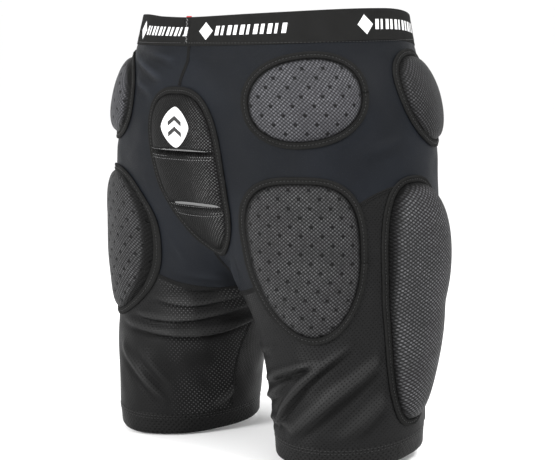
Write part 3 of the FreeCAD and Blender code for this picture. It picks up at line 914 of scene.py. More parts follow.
def crown_profile(pad, radius, z):
    """The cover's height above the skin at a share of the way from its middle to its rim."""
    upper = np.clip((z - pad["z"]) / pad["top"], 0, 1)
    full = pad["crown"] * (1 + pad["upper_swell"] * upper) + COVER_LIFT
    dome = (1 - np.clip(radius, 0, 1) ** CROWN_POWER) ** CROWN_ROUND
    return COVER_BASE + (full - COVER_BASE) * dome


def rim_distance(pad, turn):
    """Distance from the pad's centre to its outline in each direction."""
    c, s = np.cos(turn), np.sin(turn)
    low, high = np.zeros_like(turn), np.full_like(turn, LARGEST_REACH)
    for _ in range(RIM_BISECTIONS):
        middle = (low + high) / 2
        inside = pad_radius(pad, pad["across"] + middle * c, pad["z"] + middle * s) < 1
        low, high = np.where(inside, middle, low), np.where(inside, high, middle)
    return middle


def pad_grid(pad, inset, cell):
    """An even grid of (across, z) that fills the pad's outline, and each point's radius."""
    inner = shrunk(pad, inset)
    columns = int(2 * inner["half_width"] / cell)
    rows = int((inner["top"] + inner["bottom"]) / cell)
    b, a = np.meshgrid(np.linspace(1, -1, rows), np.linspace(-1, 1, columns), indexing="ij")
    x, y = a * np.sqrt(1 - b ** 2 / 2), b * np.sqrt(1 - a ** 2 / 2)
    radius = np.hypot(x, y)
    stretch = (inner["top"] + inner["bottom"]) / (2 * inner["half_width"])
    turn = np.arctan2(y * stretch, x)
    reach = rim_distance(inner, turn) * radius
    return inner["across"] + reach * np.cos(turn), inner["z"] + reach * np.sin(turn), radius


def rise(pad, across, z, height):
    """Points at a height above the skin under a pad."""
    points, normals = pad_surface(pad, across, z)
    return points + normals * height[..., None]


def height_over(pad, points):
    """Height of points above the skin under a pad, and the normals there."""
    skin_points, normals = pad_surface(pad, points @ pad_right(pad), points[..., 2])
    return ((points - skin_points) * normals).sum(-1), normals


def pad_weave(pad, points):
    if pad["angles"] is None:
        return points[:, [0, 2, 1]] * np.array([1, 1, 0])
    return weave_of(points)


def swell(piece, held):
    """Inflates the piece a little as cloth under pressure. held marks the vertices that stay."""
    start = read_points(piece.data)
    group = piece.vertex_groups.new(name="held")
    group.add(np.flatnonzero(held).tolist(), 1.0, "REPLACE")
    cloth_modifier = piece.modifiers.new("cloth", "CLOTH")
    settings = cloth_modifier.settings
    settings.quality = 6
    settings.mass = 0.25
    settings.tension_stiffness = settings.compression_stiffness = 12
    settings.shear_stiffness = 8
    settings.bending_stiffness = 0.4
    settings.use_pressure = True
    settings.uniform_pressure_force = 4
    settings.effector_weights.gravity = 0
    settings.vertex_group_mass = "held"
    cloth_modifier.collision_settings.use_collision = False
    for number in range(1, SWELL_FRAMES + 1):
        bpy.context.scene.frame_set(number)
    shown = piece.evaluated_get(bpy.context.evaluated_depsgraph_get())
    moved = read_points(shown.data)
    piece.modifiers.remove(cloth_modifier)
    piece.vertex_groups.remove(group)
    bpy.context.scene.frame_set(1)
    shift = moved - start
    length = np.maximum(np.linalg.norm(shift, axis=1, keepdims=True), 1e-9)
    cap = SWELL_CAP * MM
    kept = start + shift / length * cap * np.tanh(length / cap)
    piece.data.vertices.foreach_set("co", kept.ravel())
    piece.data.update()
    print("swell", piece.name, "largest shift mm", round(float(length.max() / MM), 2))


def subdivided(piece):
    """The piece's points, in millimetres, and faces after one subdivision; the piece goes."""
    piece.modifiers.new("smooth", "SUBSURF").levels = 1
    shown = piece.evaluated_get(bpy.context.evaluated_depsgraph_get())
    points = read_points(shown.data) / MM
    faces = [list(p.vertices) for p in shown.data.polygons]
    bpy.data.objects.remove(piece)
    return points, faces


def dimple_depth(weave):
    """1 in the middle of each dimple of a staggered lattice, 0 between them."""
    nearest = np.full(len(weave), np.inf)
    pitch = np.array(DIMPLE_PITCH)
    for shift in (0.0, 0.5):
        cell = weave[:, :2] / pitch + shift
        local = (cell - np.floor(cell) - 0.5) * pitch
        nearest = np.minimum(nearest, np.linalg.norm(local, axis=1))
    return np.exp(-(nearest / DIMPLE_RADIUS) ** 2)


def cover_form(name):
    """Points and faces of the right-hand cover of a pad."""
    pad = PADS[name]
    across, z, radius = pad_grid(pad, COVER_INSET, CELL)
    start = SWELL_START
    top = crown_profile(pad, radius, z)
    top = COVER_BASE + COVER_EDGE + (top - COVER_BASE) * start
    outer = rise(pad, across, z, top)
    inner = rise(pad, across, z, np.full_like(z, COVER_BASE))
    points, faces = shell(outer, inner)
    piece = new_piece(name + "_form", points, faces, MATERIALS["spacer"], points)
    swell(piece, np.concatenate([(radius > SWELL_HELD).ravel(), np.ones(radius.size, bool)]))
    points, faces = subdivided(piece)
    height, normals = height_over(pad, points)
    on_top = smooth(*DIMPLE_FROM, height)
    drop = np.zeros(len(points))
    if name in DIMPLED:
        drop = DIMPLE_DEPTH * dimple_depth(pad_weave(pad, points)) * on_top
    if name == "tail_pad":
        for channel in TAIL_CHANNELS:
            trough = np.exp(-((points[:, 2] - channel) / CHANNEL_HALF_WIDTH) ** 2)
            drop = np.maximum(drop, np.maximum(height - CHANNEL_FLOOR, 0) * trough)
    return points - normals * drop[:, None], faces


def even_outline(pad, inset, pitch):
    """Closed outline with equal steps: points (across, z) and unit normals in that plane."""
    turn = np.linspace(0, 360, OUTLINE_POINTS + 1)[:-1]
    curve = np.stack(pad_outline(pad, turn, inset), -1)
    closed = np.vstack([curve, curve[:1]])
    length = np.concatenate([[0], np.cumsum(np.linalg.norm(np.diff(closed, axis=0), axis=1))])
    count = int(round(length[-1] / pitch))
    at = np.arange(count) * length[-1] / count
    even = np.stack([np.interp(at, length, closed[:, k]) for k in (0, 1)], -1)
    tangent = unit(np.roll(even, -1, axis=0) - np.roll(even, 1, axis=0))
    return even, np.stack([tangent[:, 1], -tangent[:, 0]], -1)


def sweep(rows, closed=True):
    """A closed solid through rows of a closed profile. Without closed, the ends are capped."""
    count, size = rows.shape[:2]
    points = rows.reshape(-1, 3)
    faces = grid_faces(count + 1 if closed else count, size, 0, True)
    if closed:
        return points, [[k % len(points) for k in face] for face in faces]
    last = (count - 1) * size
    for k in range(1, size - 1):
        faces.append([0, k + 1, k])
        faces.append([last, last + k, last + k + 1])
    return points, faces


def tape(pad):
    """The binding's points, faces and weave: the profile swept round the pad."""
    even, out = even_outline(pad, TAPE_MIDDLE, TAPE_STEP)
    number = np.arange(len(even))
    wobble = 0.12 * np.sin(number * 0.9) + 0.1 * np.sin(number * 0.37)
    across = even[:, None, 0] + out[:, None, 0] * TAPE_PROFILE[None, :, 0]
    z = even[:, None, 1] + out[:, None, 1] * TAPE_PROFILE[None, :, 0]
    height = TAPE_PROFILE[None, :, 1] + wobble[:, None] * (TAPE_PROFILE[None, :, 1] > 1)
    points, faces = sweep(rise(pad, across, z, height))
    along = np.repeat(number * TAPE_STEP, len(TAPE_PROFILE))
    side_to_side = np.tile(TAPE_PROFILE[:, 0], len(even))
    return points, faces, np.stack([side_to_side, along, 0 * along], -1)


def stitches(centres, along, normals, length=2.2, radius=0.34):
    """Short capsules of thread, one at each centre, and their faces."""
    along = unit(along)
    beside = np.cross(normals, along)
    sides = STITCH_SIDES
    template, faces = [(-length / 2, 0, 0)], []
    for place_along, size in STITCH_STATIONS:
        for k in range(sides):
            angle = 2 * math.pi * k / sides
            template.append((place_along * length, radius * size * math.cos(angle),
                             radius * size * math.sin(angle)))
    template.append((length / 2, 0, 0))
    last = len(template) - 1
    for k in range(sides):
        after = (k + 1) % sides
        faces.append([0, 1 + after, 1 + k])
        for first in range(1, 1 + sides * (len(STITCH_STATIONS) - 1), sides):
            faces.append([first + k, first + after, first + sides + after, first + sides + k])
        faces.append([last, last - sides + k, last - sides + after])
    axes = np.stack([along, beside, normals], 1)
    points = centres[:, None, :] + np.einsum("tk,nkc->ntc", np.array(template), axes)
    count = len(template)
    shifted = [[k + n * count for k in face] for n in range(len(centres)) for face in faces]
    return points.reshape(-1, 3), shifted


def tape_stitches(pad):
    even, _ = even_outline(pad, TAPE_MIDDLE, STITCH_PITCH)
    centres, normals = pad_surface(pad, even[:, 0], even[:, 1])
    centres = centres + normals * TAPE_GROOVE
    along = np.roll(centres, -1, axis=0) - np.roll(centres, 1, axis=0)
    return stitches(centres, along, normals)


def foam_solid(pad, across, z, top):
    return shell(rise(pad, across, z, top), rise(pad, across, z, np.full_like(across, FOAM_BASE)))


def foam_form(pad):
    across, z, radius = pad_grid(pad, FOAM_INSET, FOAM_CELL)
    top = np.maximum(FOAM_SHARE * crown_profile(pad, radius, z) - FOAM_GAP, FOAM_LEAST)
    return foam_solid(pad, across, z, top)


def tail_foam_form(pad, high, low):
    """One block of the tailbone foam, between two heights."""
    inner = shrunk(pad, FOAM_INSET)
    rows, columns = TAIL_BLOCK_SHAPE
    z = np.linspace(min(high, inner["z"] + TAIL_END_SHARE * inner["top"]),
                    max(low, inner["z"] - TAIL_END_SHARE * inner["bottom"]), rows)
    scan = np.linspace(-TAIL_REACH, TAIL_REACH, TAIL_SCAN) + inner["across"]
    inside = pad_radius(inner, scan[None, :], z[:, None]) < 1
    left = np.array([scan[row].min() for row in inside])
    right = np.array([scan[row].max() for row in inside])
    across = left[:, None] + (right - left)[:, None] * np.linspace(0, 1, columns)
    z = np.broadcast_to(z[:, None], across.shape)
    full = FOAM_SHARE * crown_profile(pad, pad_radius(inner, across, z), z) - FOAM_GAP
    ends = smooth(0, 3, np.abs(z - z[0, 0])) * smooth(0, 3, np.abs(z - z[-1, 0]))
    share = TAIL_END_HEIGHT + (1 - TAIL_END_HEIGHT) * ends
    return foam_solid(pad, across, z, FOAM_LEAST + np.maximum(full - FOAM_LEAST, 0) * share)


# tones painted lighter on the seat pad and darker on the thigh and hip pads, as painted light and
# painted shade
COVER_MATERIALS = {"seat_pad": "spacer_painted_light", "thigh_pad": "spacer_dimpled_painted_shade",
                   "hip_pad": "spacer_painted_shade", "side_pad": "spacer", "tail_pad": "spacer_dark"}


def shade_rim(piece, pad, points):
    """Stores how far in from the tape each point lies, 0 at the tape and 1 well inside it, and low
    beside the tailbone pad's channels; the spacer materials paint shade where it is low.
    """
    inner = shrunk(pad, BINDING_WIDTH)
    inside = (1 - pad_radius(inner, points @ pad_right(pad), points[:, 2])) * inner["half_width"]
    if pad is PADS["tail_pad"]:
        for channel in TAIL_CHANNELS:
            inside = np.minimum(inside, np.abs(points[:, 2] - channel) - CHANNEL_SHADE)
    store(piece, "rim", smooth(-0.5, 2.5, inside))


def foam_forms(name, pad, suffix):
    """The CAD node and the form of each of a pad's foam blocks."""
    if pad["angles"] is not None:
        return [(f"{name}_foam{suffix}", foam_form(pad))]
    edges = (0.0,) + TAIL_CHANNELS + (HEM_Z,)
    return [(f"{name}_foam_{where}", tail_foam_form(pad, high - TAIL_BLOCK_GAP, low + TAIL_BLOCK_GAP))
            for where, high, low in zip(("upper", "middle", "lower"), edges, edges[1:])]


def add_pad(name):
    """Cover, foam, tape and tape stitches of a pad, on both sides if it is a paired one."""
    pad = PADS[name]
    paired = pad["angles"] is not None
    cover, cover_faces = cover_form(name)
    tape_points, tape_faces, tape_weave = tape(pad)
    thread_points, thread_faces = tape_stitches(pad)
    for side in SIDES if paired else ("right",):
        suffix = "_" + side if paired else ""
        follows = side if paired else "pelvis"
        made = add(f"{name}_cover{suffix}_mesh", (mirrored(cover, side), cover_faces),
                   COVER_MATERIALS[name], pad_weave(pad, cover), follows,
                   "spacer_mesh", f"{name}_cover{suffix}")
        shade_rim(made, pad, cover)
        add(f"{name}_binding{suffix}_tape", (mirrored(tape_points, side), tape_faces),
            "binding", tape_weave, follows, "binding", f"{name}_binding{suffix}")
        add(f"{name}_stitching{suffix}", (mirrored(thread_points, side), thread_faces),
            "grey_thread", thread_points, follows)
        for node, (points, faces) in foam_forms(name, pad, suffix):
            made = add(node + "_block", (mirrored(points, side), faces), "foam",
                       pad_weave(pad, points), follows, "foam", node)


for pad_name in PADS:
    add_pad(pad_name)


# ---------------------------------------------------------------- waistband
JOIN_U = 8.0            # the band's ends meet this far to the right of the back's middle
JOIN_GAP = 0.2
BAND_COLUMNS = 420
BAND_DIP = 2.5          # the top edge sags at the middle of the back,
BAND_DIP_WIDTH = 75     # over about this distance to each side
BAND_MIDDLE_Z = -14.0   # the height at which lengths round the band are measured
BAND_SURFACE = 0.7      # the height of the band's outside over the skin
MARK_RISE = 0.14        # woven marks stand this far out of it
MARK_SEAT = 0.5         # and start at this height, inside the band
MARK_Z = -14.5
MARK_STARTS = (21.0, 178.0, 335.0, -86.0, -243.0)
MARK_DIAMOND = 17.0
MARK_TALL = 1.05        # a diamond's height over its width
MARK_GAP = 3.0          # from the diamond to the first bar
MARK_BARS = 11
MARK_BAR_PITCH = 6.7
MARK_BAR_WIDTHS = (4.2, 2.6, 4.2, 3.4)
MARK_BAR_REACH = 4.6    # a bar goes this far above and below the middle,
MARK_BAR_SLANT = 0.22   # leaning by this share
BAND_STITCH_Z = -26.5
BAND_STITCH_PITCH = 3.4
BAND_STITCH_HEIGHT = 0.62
ZIGZAG_FROM, ZIGZAG_TO, ZIGZAG_STEP = -4.0, -27.5, 1.7
ZIGZAG_HALF_WIDTH = 1.3
ZIGZAG_BESIDE_JOIN = 4.0
ZIGZAG_HEIGHT = 0.85
STRIP_HALF_WIDTH = 5.5  # the strip behind the join,
STRIP_FROM, STRIP_TO = -1.6, -28
STRIP_OUTSIDE, STRIP_INSIDE = -1.65, -2.7       # and its two faces, measured out from the skin
# Height down the band and thickness outwards, round its section
BAND_PROFILE = np.array([(0.0, -1.0), (0.0, 0.2), (-0.5, 0.62), (-1.2, 0.7), (-6.0, 0.62),
                         (-12.0, 0.74), (-18.0, 0.62), (-24.0, 0.72), (-26.5, 0.45), (-28.2, 0.7),
                         (-28.8, 0.5), (-29.0, 0.1), (-29.0, -1.2), (-28.4, -1.5), (-20.0, -1.5),
                         (-10.0, -1.5), (-0.8, -1.5), (-0.1, -1.3)])


def waist_table():
    """Arc distance from the back's middle to the front's, and the tube angle at each."""
    z = BAND_MIDDLE_Z
    limit = float(centre_angle(z))
    angle = np.linspace(limit, -limit, 801)
    points = skin(angle, np.full_like(angle, z))
    steps = np.linalg.norm(np.diff(points, axis=0), axis=1)
    return np.concatenate([[0], np.cumsum(steps)]), angle


WAIST_ARC, WAIST_ANGLE = waist_table()
WAIST_HALF = WAIST_ARC[-1]


def wrapped(u):
    """Distance round the waist brought to the nearer way from the back's middle."""
    return (u + WAIST_HALF) % (2 * WAIST_HALF) - WAIST_HALF


def band_points(u, z, offset):
    """Points on the waist. u is the distance round it from the back's middle, + to the right."""
    u = wrapped(u)
    angle = np.interp(np.abs(u), WAIST_ARC, WAIST_ANGLE)
    normals = unit(skin_normal(angle, z) * np.array([1, 1, 0]))
    points = skin(angle, z) + normals * (offset + 0 * u)[..., None]
    points[..., 0] *= np.where(u < 0, -1, 1)
    return points


def band_height(u, z):
    """z on the worn band: sagging behind and in front, and raised over the right hip."""
    angle = np.interp(np.abs(u), WAIST_ARC, WAIST_ANGLE)
    side = np.where(u < 0, "left", "right")
    dip = BAND_DIP * np.exp(-(u / BAND_DIP_WIDTH) ** 2) * smooth(BAND_BOTTOM_Z, 0, z)
    return z + band_shift(side, angle) - dip


def waistband():
    start = JOIN_U + JOIN_GAP
    u = np.linspace(start, start + 2 * (WAIST_HALF - JOIN_GAP), BAND_COLUMNS)[:, None]
    z, out = (np.broadcast_to(BAND_PROFILE[:, k], (len(u), len(BAND_PROFILE))) for k in (0, 1))
    gather = 0.12 * np.sin(u * 1.7) * (out > 0)
    around = np.broadcast_to(u, z.shape)
    form = sweep(band_points(around, band_height(wrapped(u), z), out + gather), closed=False)
    weave = np.stack([around, z, 0 * z], -1).reshape(-1, 3)
    piece = add("waistband_elastic", form, "elastic", weave, "pelvis", "elastic", "waistband")


def band_patch(u, z, low, high):
    """A thin plate on the band over a grid of (u, z)."""
    place_z = band_height(u, z)
    return shell(band_points(u, place_z, high), band_points(u, place_z, low))


def gathered(parts):
    """Several (points, faces) put together as one."""
    points, faces, count = [], [], 0
    for some, own in parts:
        points.append(some)
        faces += [[k + count for k in face] for face in own]
        count += len(some)
    return np.concatenate(points), faces


def waist_marks():
    """Plain woven marks: a diamond and a row of slanting bars, five times round the band."""
    made = []
    half = MARK_DIAMOND / 2
    top = BAND_SURFACE + MARK_RISE
    a, b = np.meshgrid(np.linspace(-1, 1, 9), np.linspace(-1, 1, 9))
    for start in MARK_STARTS:
        u = start + half + half * (a + b) / 2
        z = MARK_Z + half * (a - b) / 2 * MARK_TALL
        made.append(band_patch(u, z, MARK_SEAT, top))
        for k in range(MARK_BARS):
            width = MARK_BAR_WIDTHS[k % len(MARK_BAR_WIDTHS)]
            left = start + MARK_DIAMOND + MARK_GAP + k * MARK_BAR_PITCH
            share, up = np.meshgrid(np.linspace(0, 1, 4),
                                    np.linspace(-MARK_BAR_REACH, MARK_BAR_REACH, 6))
            u = left + width * share + MARK_BAR_SLANT * up
            made.append(band_patch(u, MARK_Z + up, MARK_SEAT, top))
    form = gathered(made)
    add("waistband_marks", form, "mark", front_on(form[0]), "pelvis")


def band_stitches():
    """Rows of thread: one near the band's lower edge, and a pale zigzag over the join."""
    u = np.arange(-WAIST_HALF, WAIST_HALF, BAND_STITCH_PITCH)
    level = np.full_like(u, BAND_STITCH_Z)
    centres = band_points(u, level, BAND_STITCH_HEIGHT)
    along = band_points(u + 1, level, BAND_STITCH_HEIGHT) - centres
    form = stitches(centres, along, unit(centres * np.array([1, 1, 0])), 2.4)
    add("waistband_stitching", form, "black_thread", form[0], "pelvis")
    z = np.arange(ZIGZAG_FROM, ZIGZAG_TO, -ZIGZAG_STEP)
    to_side = np.where(np.arange(len(z)) % 2, 1, -1)
    u = JOIN_U - ZIGZAG_BESIDE_JOIN + ZIGZAG_HALF_WIDTH * to_side
    corners = band_points(u, z, ZIGZAG_HEIGHT)
    centres, along = (corners[1:] + corners[:-1]) / 2, corners[1:] - corners[:-1]
    form = stitches(centres, along, np.tile([0.0, -1.0, 0.0], (len(centres), 1)), 3.0, 0.26)
    add("waistband_join_stitching", form, "pale_thread", form[0], "pelvis")


def waistband_join():
    """The reinforcing strip inside the band, behind the join."""
    u, z = np.meshgrid(np.linspace(-STRIP_HALF_WIDTH, STRIP_HALF_WIDTH, 10) + JOIN_U,
                       np.linspace(STRIP_FROM, STRIP_TO, 16))
    form = band_patch(u, z, STRIP_INSIDE + 0.12 * np.sin(z * 2.2), STRIP_OUTSIDE)
    add("waistband_join_strip", form, "elastic", front_on(form[0]), "pelvis", "elastic",
        "waistband_join")


# ---------------------------------------------------------------- seams
# Across a seam strip and up from the cloth: a flatlocked seam with a groove in its middle
BACK_SEAM_HIDDEN = (-66, -226)   # heights between which the tailbone pad covers the back seam
SEAM_DEPTH = 0.3        # a seam strip starts this far inside the cloth
SEAM_PROFILE = np.array([(-2.6, 0.02), (-2.3, 0.42), (-1.5, 0.58), (-0.7, 0.50), (0, 0.22),
                         (0.7, 0.50), (1.5, 0.58), (2.3, 0.42), (2.6, 0.02)])


def seam_strip(sheet, first, z, width):
    """A strip along a path (first, z) on sheet, whose first coordinate may be an angle or x."""
    step = 0.25
    beyond, before = sheet(first + step, z)[0], sheet(first - step, z)[0]
    to_first = np.linalg.norm(beyond - before, axis=-1) / (2 * step)
    direction = unit(np.stack([np.gradient(first) * to_first, np.gradient(z)], -1))
    across = SEAM_PROFILE[None, :, 0] * width
    moved_first = first[:, None] - across * direction[:, 1:] / to_first[:, None]
    moved_z = z[:, None] + across * direction[:, :1]
    points, normals = sheet(moved_first, moved_z)
    form = shell(points + normals * SEAM_PROFILE[None, :, 1:], points - normals * SEAM_DEPTH)
    middle = points[:, len(SEAM_PROFILE) // 2]
    run = np.cumsum(np.linalg.norm(np.gradient(middle, axis=0), axis=1))
    weave = np.stack(np.broadcast_arrays(run[:, None], across, 0 * moved_z), -1).reshape(-1, 3)
    return form, np.concatenate([weave, weave])


def add_seam(name, strip, follows="pelvis", material="seam"):
    form, weave = strip
    add(name, form, material, weave, follows)


def seams():
    z = np.linspace(BAND_BOTTOM_Z, BACK_SEAM_HIDDEN[0], 30)
    # The worn seam runs from the band's join back to the middle, where the tailbone pad hides it
    x = 12 * smooth(-74, -36, z) - 2 + 0.5 * np.sin(z / 4)
    add_seam("centre_back_seam_upper", seam_strip(centre_sheet, x, z, 0.8))
    z = np.linspace(BACK_SEAM_HIDDEN[1], CROTCH_Z, 24)
    add_seam("centre_back_seam_lower", seam_strip(centre_sheet, 0 * z, z, 0.8))
    z = np.linspace(BAND_BOTTOM_Z - FRONT_DROP, CROTCH_Z, 110)
    add_seam("centre_front_seam",
             seam_strip(lambda x, height: centre_sheet(x, height, True), 0 * z, z, 0.9))
    for side in SIDES:
        def sheet(angle, height, at=side):
            return cloth(at, angle, height)[:2]
        share = np.linspace(0.004, 0.996, 260)
        for part in ("back", "front"):
            level = seam_height(part, share)
            add_seam(f"leg_seam_{part}_{side}",
                     seam_strip(sheet, column_angle(part, share, level), level, 0.75), side)
        z = np.linspace(BAND_BOTTOM_Z + band_shift(side, SIDE_SEAM_ANGLE),
                        HEM_TOP_Z + hem_shift(side, SIDE_SEAM_ANGLE), 200)
        add_seam(f"side_seam_{side}", seam_strip(sheet, SIDE_SEAM_ANGLE + 0 * z, z, 0.8), side)
        z = np.linspace(CROTCH_Z - 2, HEM_TOP_Z + hem_shift(side, 180), 80)
        add_seam(f"inseam_{side}", seam_strip(sheet, 180 + 0 * z, z, 0.45), side, "hem")


# ---------------------------------------------------------------- hems
HEM_PROFILE = np.array([(HEM_TOP_Z + 0.2, -1.2), (HEM_TOP_Z + 0.2, 0.1), (-393.0, 0.42),
                        (-395.0, 0.30), (-397.2, 0.42), (-399.0, 0.25), (-405.0, 0.22),
                        (-410.6, 0.25), (-411.7, -0.15), (HEM_Z, -0.8), (-411.7, -1.5),
                        (-410.6, -1.9), (-402.0, -1.8), (-394.0, -1.8)])
HEM_STITCH_HEIGHT = 0.42
HEM_STITCH_DEGREES = 2.7
HEM_ROWS = (-393.9, -396.6)


def hem_points(side, angle, z, offset):
    """Points of a hem; its edge wavers a little."""
    points, normals = skin(angle, z), skin_normal(angle, z)
    down = smooth(HEM_TOP_Z, HEM_Z, z)
    a, shift = np.radians(angle), 0.0 if side == "right" else 1.3
    wave = (0.9 * np.sin(3 * a + shift) + 0.5 * np.sin(7 * a + 2 * shift)) * down
    points = points + normals * (offset + wave)[..., None]
    points[..., 2] += 0.8 * np.sin(2 * a + 0.6 + shift) * down + hem_shift(side, angle)
    return mirrored(points, side), mirrored(normals, side)


def hem(side):
    angle = np.linspace(0, 360, 241)[:-1]
    shape = (len(angle), len(HEM_PROFILE))
    angles = np.broadcast_to(angle[:, None], shape)
    z, out = (np.broadcast_to(HEM_PROFILE[:, k], shape) for k in (0, 1))
    form = sweep(hem_points(side, angles, z, out)[0])
    weave = np.stack([along_round(angles, z), z, 0 * z], -1).reshape(-1, 3)
    piece = add(f"hem_{side}_cloth", form, "hem", weave, "leg_" + side, "hem", "hem_" + side)
    rows = []
    for level in HEM_ROWS:
        angle = np.arange(0, 360, HEM_STITCH_DEGREES)
        heights = np.full_like(angle, level)
        centres, normals = hem_points(side, angle, heights, HEM_STITCH_HEIGHT)
        beyond = hem_points(side, angle + 0.5, heights, HEM_STITCH_HEIGHT)[0]
        rows.append(stitches(centres, beyond - centres, normals, 2.2, 0.28))
    form = gathered(rows)
    add(f"hem_{side}_stitching", form, "black_thread", form[0], "leg_" + side)


# ---------------------------------------------------------------- labels
TAB_FOOT_Z = -6.0
TAB_SHOWS = 1.0         # the tab ends this far under the top of the sagging band
TAB_HALF_WIDTH = 3.5
TAB_HALF = 0.3          # half the tab's thickness
SIZE_LABEL_HALF = 0.2
SIZE_LABEL_CURL = 1.6
FLAG_HALF = 0.22
FLAG_BEND = 4.0
FLAG_LENGTH = 16


def cad_corners(node):
    """The lowest and highest corner of a CAD node's box, in millimetres."""
    return (np.array(corner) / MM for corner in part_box(node))


def label_tab():
    """The red tab: a folded tape with a rounded top edge."""
    low, high = cad_corners("label_tab")
    middle_y, top = (low[1] + high[1]) / 2, high[2] - BAND_DIP - TAB_SHOWS
    half = TAB_HALF
    profile = [(TAB_FOOT_Z, -half), (-3.0, -half - 0.1), (top - 0.5, -half), (top - 0.1, -half / 2),
               (top, 0.0), (top - 0.1, half / 2), (top - 0.5, half), (-3.0, half + 0.1),
               (TAB_FOOT_Z, half)]
    x = np.linspace(-TAB_HALF_WIDTH, TAB_HALF_WIDTH, 9)
    form = sweep(np.array([[(across, middle_y + y, z) for z, y in profile] for across in x]),
                 closed=False)
    add("label_tab_tape", form, "red_tab", front_on(form[0]), "pelvis", "red_tab", "label_tab")


def size_label():
    """The white label inside the band, curling a little towards its lower edge."""
    low, high = cad_corners("size_label")
    x, z = np.meshgrid(np.linspace(low[0], high[0], 15), np.linspace(high[2], low[2], 17))
    curl = SIZE_LABEL_CURL * smooth(high[2] - 8, low[2], z) ** 2 + 0.25 * np.sin(x / 4)
    y = (low[1] + high[1]) / 2 + curl
    form = shell(*(np.stack([x, y + lift, z], -1) for lift in (-SIZE_LABEL_HALF, SIZE_LABEL_HALF)))
    piece = add("size_label_cloth", form, "white_label", front_on(form[0]), "size_label",
                "white_label", "size_label")


def flag_label():
    """The flag in the right side seam. It lies along one diagonal of its CAD box, seen from above."""
    low, high = cad_corners("flag_label")
    root, tip = np.array([high[0], low[1]]), np.array([low[0], high[1]])
    share, z = np.meshgrid(np.linspace(0, 1, 13), np.linspace(high[2], low[2], 13))
    line = root + (tip - root) * share[..., None]
    side_on = unit(np.array([-(tip - root)[1], (tip - root)[0]]))
    bend = (FLAG_BEND * share ** 2 - 0.1 * np.sin(z))[..., None] * side_on
    form = shell(*(np.concatenate([line + bend + side_on * lift, z[..., None]], -1)
                   for lift in (FLAG_HALF, -FLAG_HALF)))
    height = form[0][:, 2]
    weave = np.stack([np.tile(share.ravel() * FLAG_LENGTH, 2), height, 0 * height], -1)
    piece = add("flag_label_cloth", form, "black_label", weave, "flag_label", "black_label",
                "flag_label")


# ---------------------------------------------------------------- the mark on the tailbone pad
MARK_CENTRE = (1.0, -104.0)
MARK_HALF = (20.0, 19.0)
MARK_POWER = 1.45       # between a diamond, at 1, and an ellipse, at 2
CHEVRON_STARTS = (-9.0, 1.0)
CHEVRON_HALF_WIDTH = 9.5
CHEVRON_RISE = 5.5
CHEVRON_WEIGHT = 4.2
CHANNEL_ROWS = (-5.2, -2.9, 2.6)        # rows of stitches, measured up from a channel's middle
CHANNEL_STITCH_PITCH = 2.9
CHANNEL_STITCH_RISE = 0.25
CHANNEL_ROW_INSET = 1.5


def pad_mark():
    """A plain pale lozenge with two dark chevrons, fused to the tailbone cover."""
    cover = bpy.data.objects["tail_pad_cover_mesh"]
    tree = BVHTree.FromPolygons([tuple(v.co) for v in cover.data.vertices],
                                [tuple(p.vertices) for p in cover.data.polygons])

    def drape(x, z, lift):
        """Points of the cover's outside at (x, z), lifted off it."""
        found = np.empty(x.shape + (3,))
        for index in np.ndindex(x.shape):
            start = Vector((x[index] * MM, -0.3, z[index] * MM))
            place_at, normal, _, _ = tree.ray_cast(start, Vector((0, 1, 0)))
            found[index] = (place_at + normal * lift * MM) / MM
        return found

    def plate(x, z, low, high):
        return shell(drape(x, z, high), drape(x, z, low))

    a, b = np.meshgrid(np.linspace(-1, 1, 29), np.linspace(1, -1, 29))
    x, z = a * np.sqrt(1 - b ** 2 / 2), b * np.sqrt(1 - a ** 2 / 2)
    reach = np.maximum(np.hypot(x, z), 1e-9)
    power = np.abs(x / reach) ** MARK_POWER + np.abs(z / reach) ** MARK_POWER
    lozenge = reach / np.maximum(power ** (1 / MARK_POWER), 1e-9)
    x, z = x / reach * lozenge * MARK_HALF[0], z / reach * lozenge * MARK_HALF[1]
    form = plate(x + MARK_CENTRE[0], z + MARK_CENTRE[1], -0.3, 0.16)
    add("tail_pad_mark", form, "mark", front_on(form[0]), "pelvis")
    share, up = np.meshgrid(np.linspace(-1, 1, 21), np.linspace(0, CHEVRON_WEIGHT, 5))
    x, z = CHEVRON_HALF_WIDTH * share, up + CHEVRON_RISE * (1 - np.abs(share))
    form = gathered([plate(MARK_CENTRE[0] + x, MARK_CENTRE[1] + low + z, 0.05, 0.26)
                     for low in CHEVRON_STARTS])
    add("tail_pad_mark_chevrons", form, "mark_dark", front_on(form[0]), "pelvis")


def channel_stitches():
    """Rows of pale thread beside the tailbone pad's sewn channels: two below, one above."""
    pad = PADS["tail_pad"]
    cover, inner = shrunk(pad, COVER_INSET), shrunk(pad, COVER_INSET + CHANNEL_ROW_INSET)
    rows = []
    for channel in TAIL_CHANNELS:
        for shift in CHANNEL_ROWS:
            across = np.arange(-TAIL_REACH, TAIL_REACH, CHANNEL_STITCH_PITCH)
            z = np.full_like(across, channel + shift)
            inside = pad_radius(inner, across, z) < 1
            across, z = across[inside], z[inside]
            trough = math.exp(-(shift / CHANNEL_HALF_WIDTH) ** 2)
            full = crown_profile(cover, pad_radius(cover, across, z), z)
            height = full - np.maximum(full - CHANNEL_FLOOR, 0) * trough + CHANNEL_STITCH_RISE
            centres, normals = pad_surface(pad, across, z)
            centres = centres + normals * height[:, None]
            rows.append(stitches(centres, np.gradient(centres, axis=0), normals, 1.2, 0.3))
    form = gathered(rows)
    add("tail_pad_channel_stitching", form, "pale_thread", form[0], "pelvis")


waistband()
waist_marks()
band_stitches()
waistband_join()
seams()
for side_name in SIDES:
    hem(side_name)
label_tab()
size_label()
flag_label()
pad_mark()
channel_stitches()


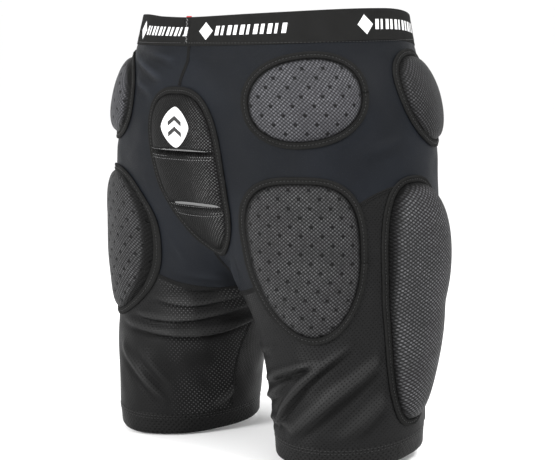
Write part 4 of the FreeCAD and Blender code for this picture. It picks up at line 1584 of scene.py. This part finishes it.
# ---------------------------------------------------------------- floor, light, camera
# Azimuth, elevation, distance, size and power of each light
LIGHTS = {"key": (95, 48, 1.8, 0.7, 28), "fill": (-2, 20, 2.0, 0.7, 38), "top": (50, 80, 1.6, 1.0, 8)}
LIGHT_TARGET = Vector((0, 0, -0.2))
VIEW_AZIMUTH, VIEW_ELEVATION, VIEW_ROLL = 48, 6.3, -0.8
VIEW_DISTANCE = 2.0
VIEW_TARGET = Vector((0, 0, -0.212))
SENSOR_MM = 36.0
LENS_MM = 133.6
LENS_SHIFT = (0.0027, 0.0036)


def towards(azimuth, elevation):
    """The direction from the garment to a viewer or a light."""
    a, e = math.radians(azimuth), math.radians(elevation)
    return Vector((math.sin(a) * math.cos(e), -math.cos(a) * math.cos(e), math.sin(e)))


def studio():
    floor_z = cad_box[0][2] - 0.001
    bpy.ops.mesh.primitive_plane_add(size=240, location=(0, 0, floor_z))
    floor = bpy.context.object
    floor.name = "floor"
    n = Nodes("floor")
    n.link(grey(0.96), n.shader.inputs["Base Color"])
    n.shader.inputs["Roughness"].default_value = 0.9
    floor.data.materials.append(n.material)
    world = bpy.data.worlds.new("studio")
    world.use_nodes = True
    background = world.node_tree.nodes["Background"].inputs
    background["Color"].default_value = (1.0, 1.0, 1.0, 1)
    background["Strength"].default_value = 1.05
    bpy.context.scene.world = world
    bpy.context.scene.view_settings.view_transform = "Standard"


def area_light(name, azimuth, elevation, distance, size, power):
    """A soft box that looks at the garment's middle from a direction."""
    back = towards(azimuth, elevation)
    data = bpy.data.lights.new(name, "AREA")
    data.shape = "SQUARE"
    data.size = size
    data.energy = power
    light = bpy.data.objects.new(name, data)
    light.location = LIGHT_TARGET + back * distance
    light.rotation_mode = "QUATERNION"
    light.rotation_quaternion = back.to_track_quat("Z", "Y")
    bpy.context.scene.collection.objects.link(light)


def camera():
    back = towards(VIEW_AZIMUTH, VIEW_ELEVATION)
    azimuth, roll = math.radians(VIEW_AZIMUTH), math.radians(VIEW_ROLL)
    level_right = Vector((math.cos(azimuth), math.sin(azimuth), 0))
    level_up = back.cross(level_right)
    right = level_right * math.cos(roll) + level_up * math.sin(roll)
    up = level_up * math.cos(roll) - level_right * math.sin(roll)
    data = bpy.data.cameras.new("camera")
    data.sensor_width = SENSOR_MM
    data.lens = LENS_MM
    data.shift_x, data.shift_y = LENS_SHIFT
    cam = bpy.data.objects.new("camera", data)
    place = VIEW_TARGET + back * VIEW_DISTANCE
    cam.matrix_world = Matrix((
        (right.x, up.x, back.x, place.x), (right.y, up.y, back.y, place.y),
        (right.z, up.z, back.z, place.z), (0, 0, 0, 1)))
    bpy.context.scene.collection.objects.link(cam)
    bpy.context.scene.camera = cam


studio()
for light_name, light_values in LIGHTS.items():
    area_light(light_name, *light_values)
camera()
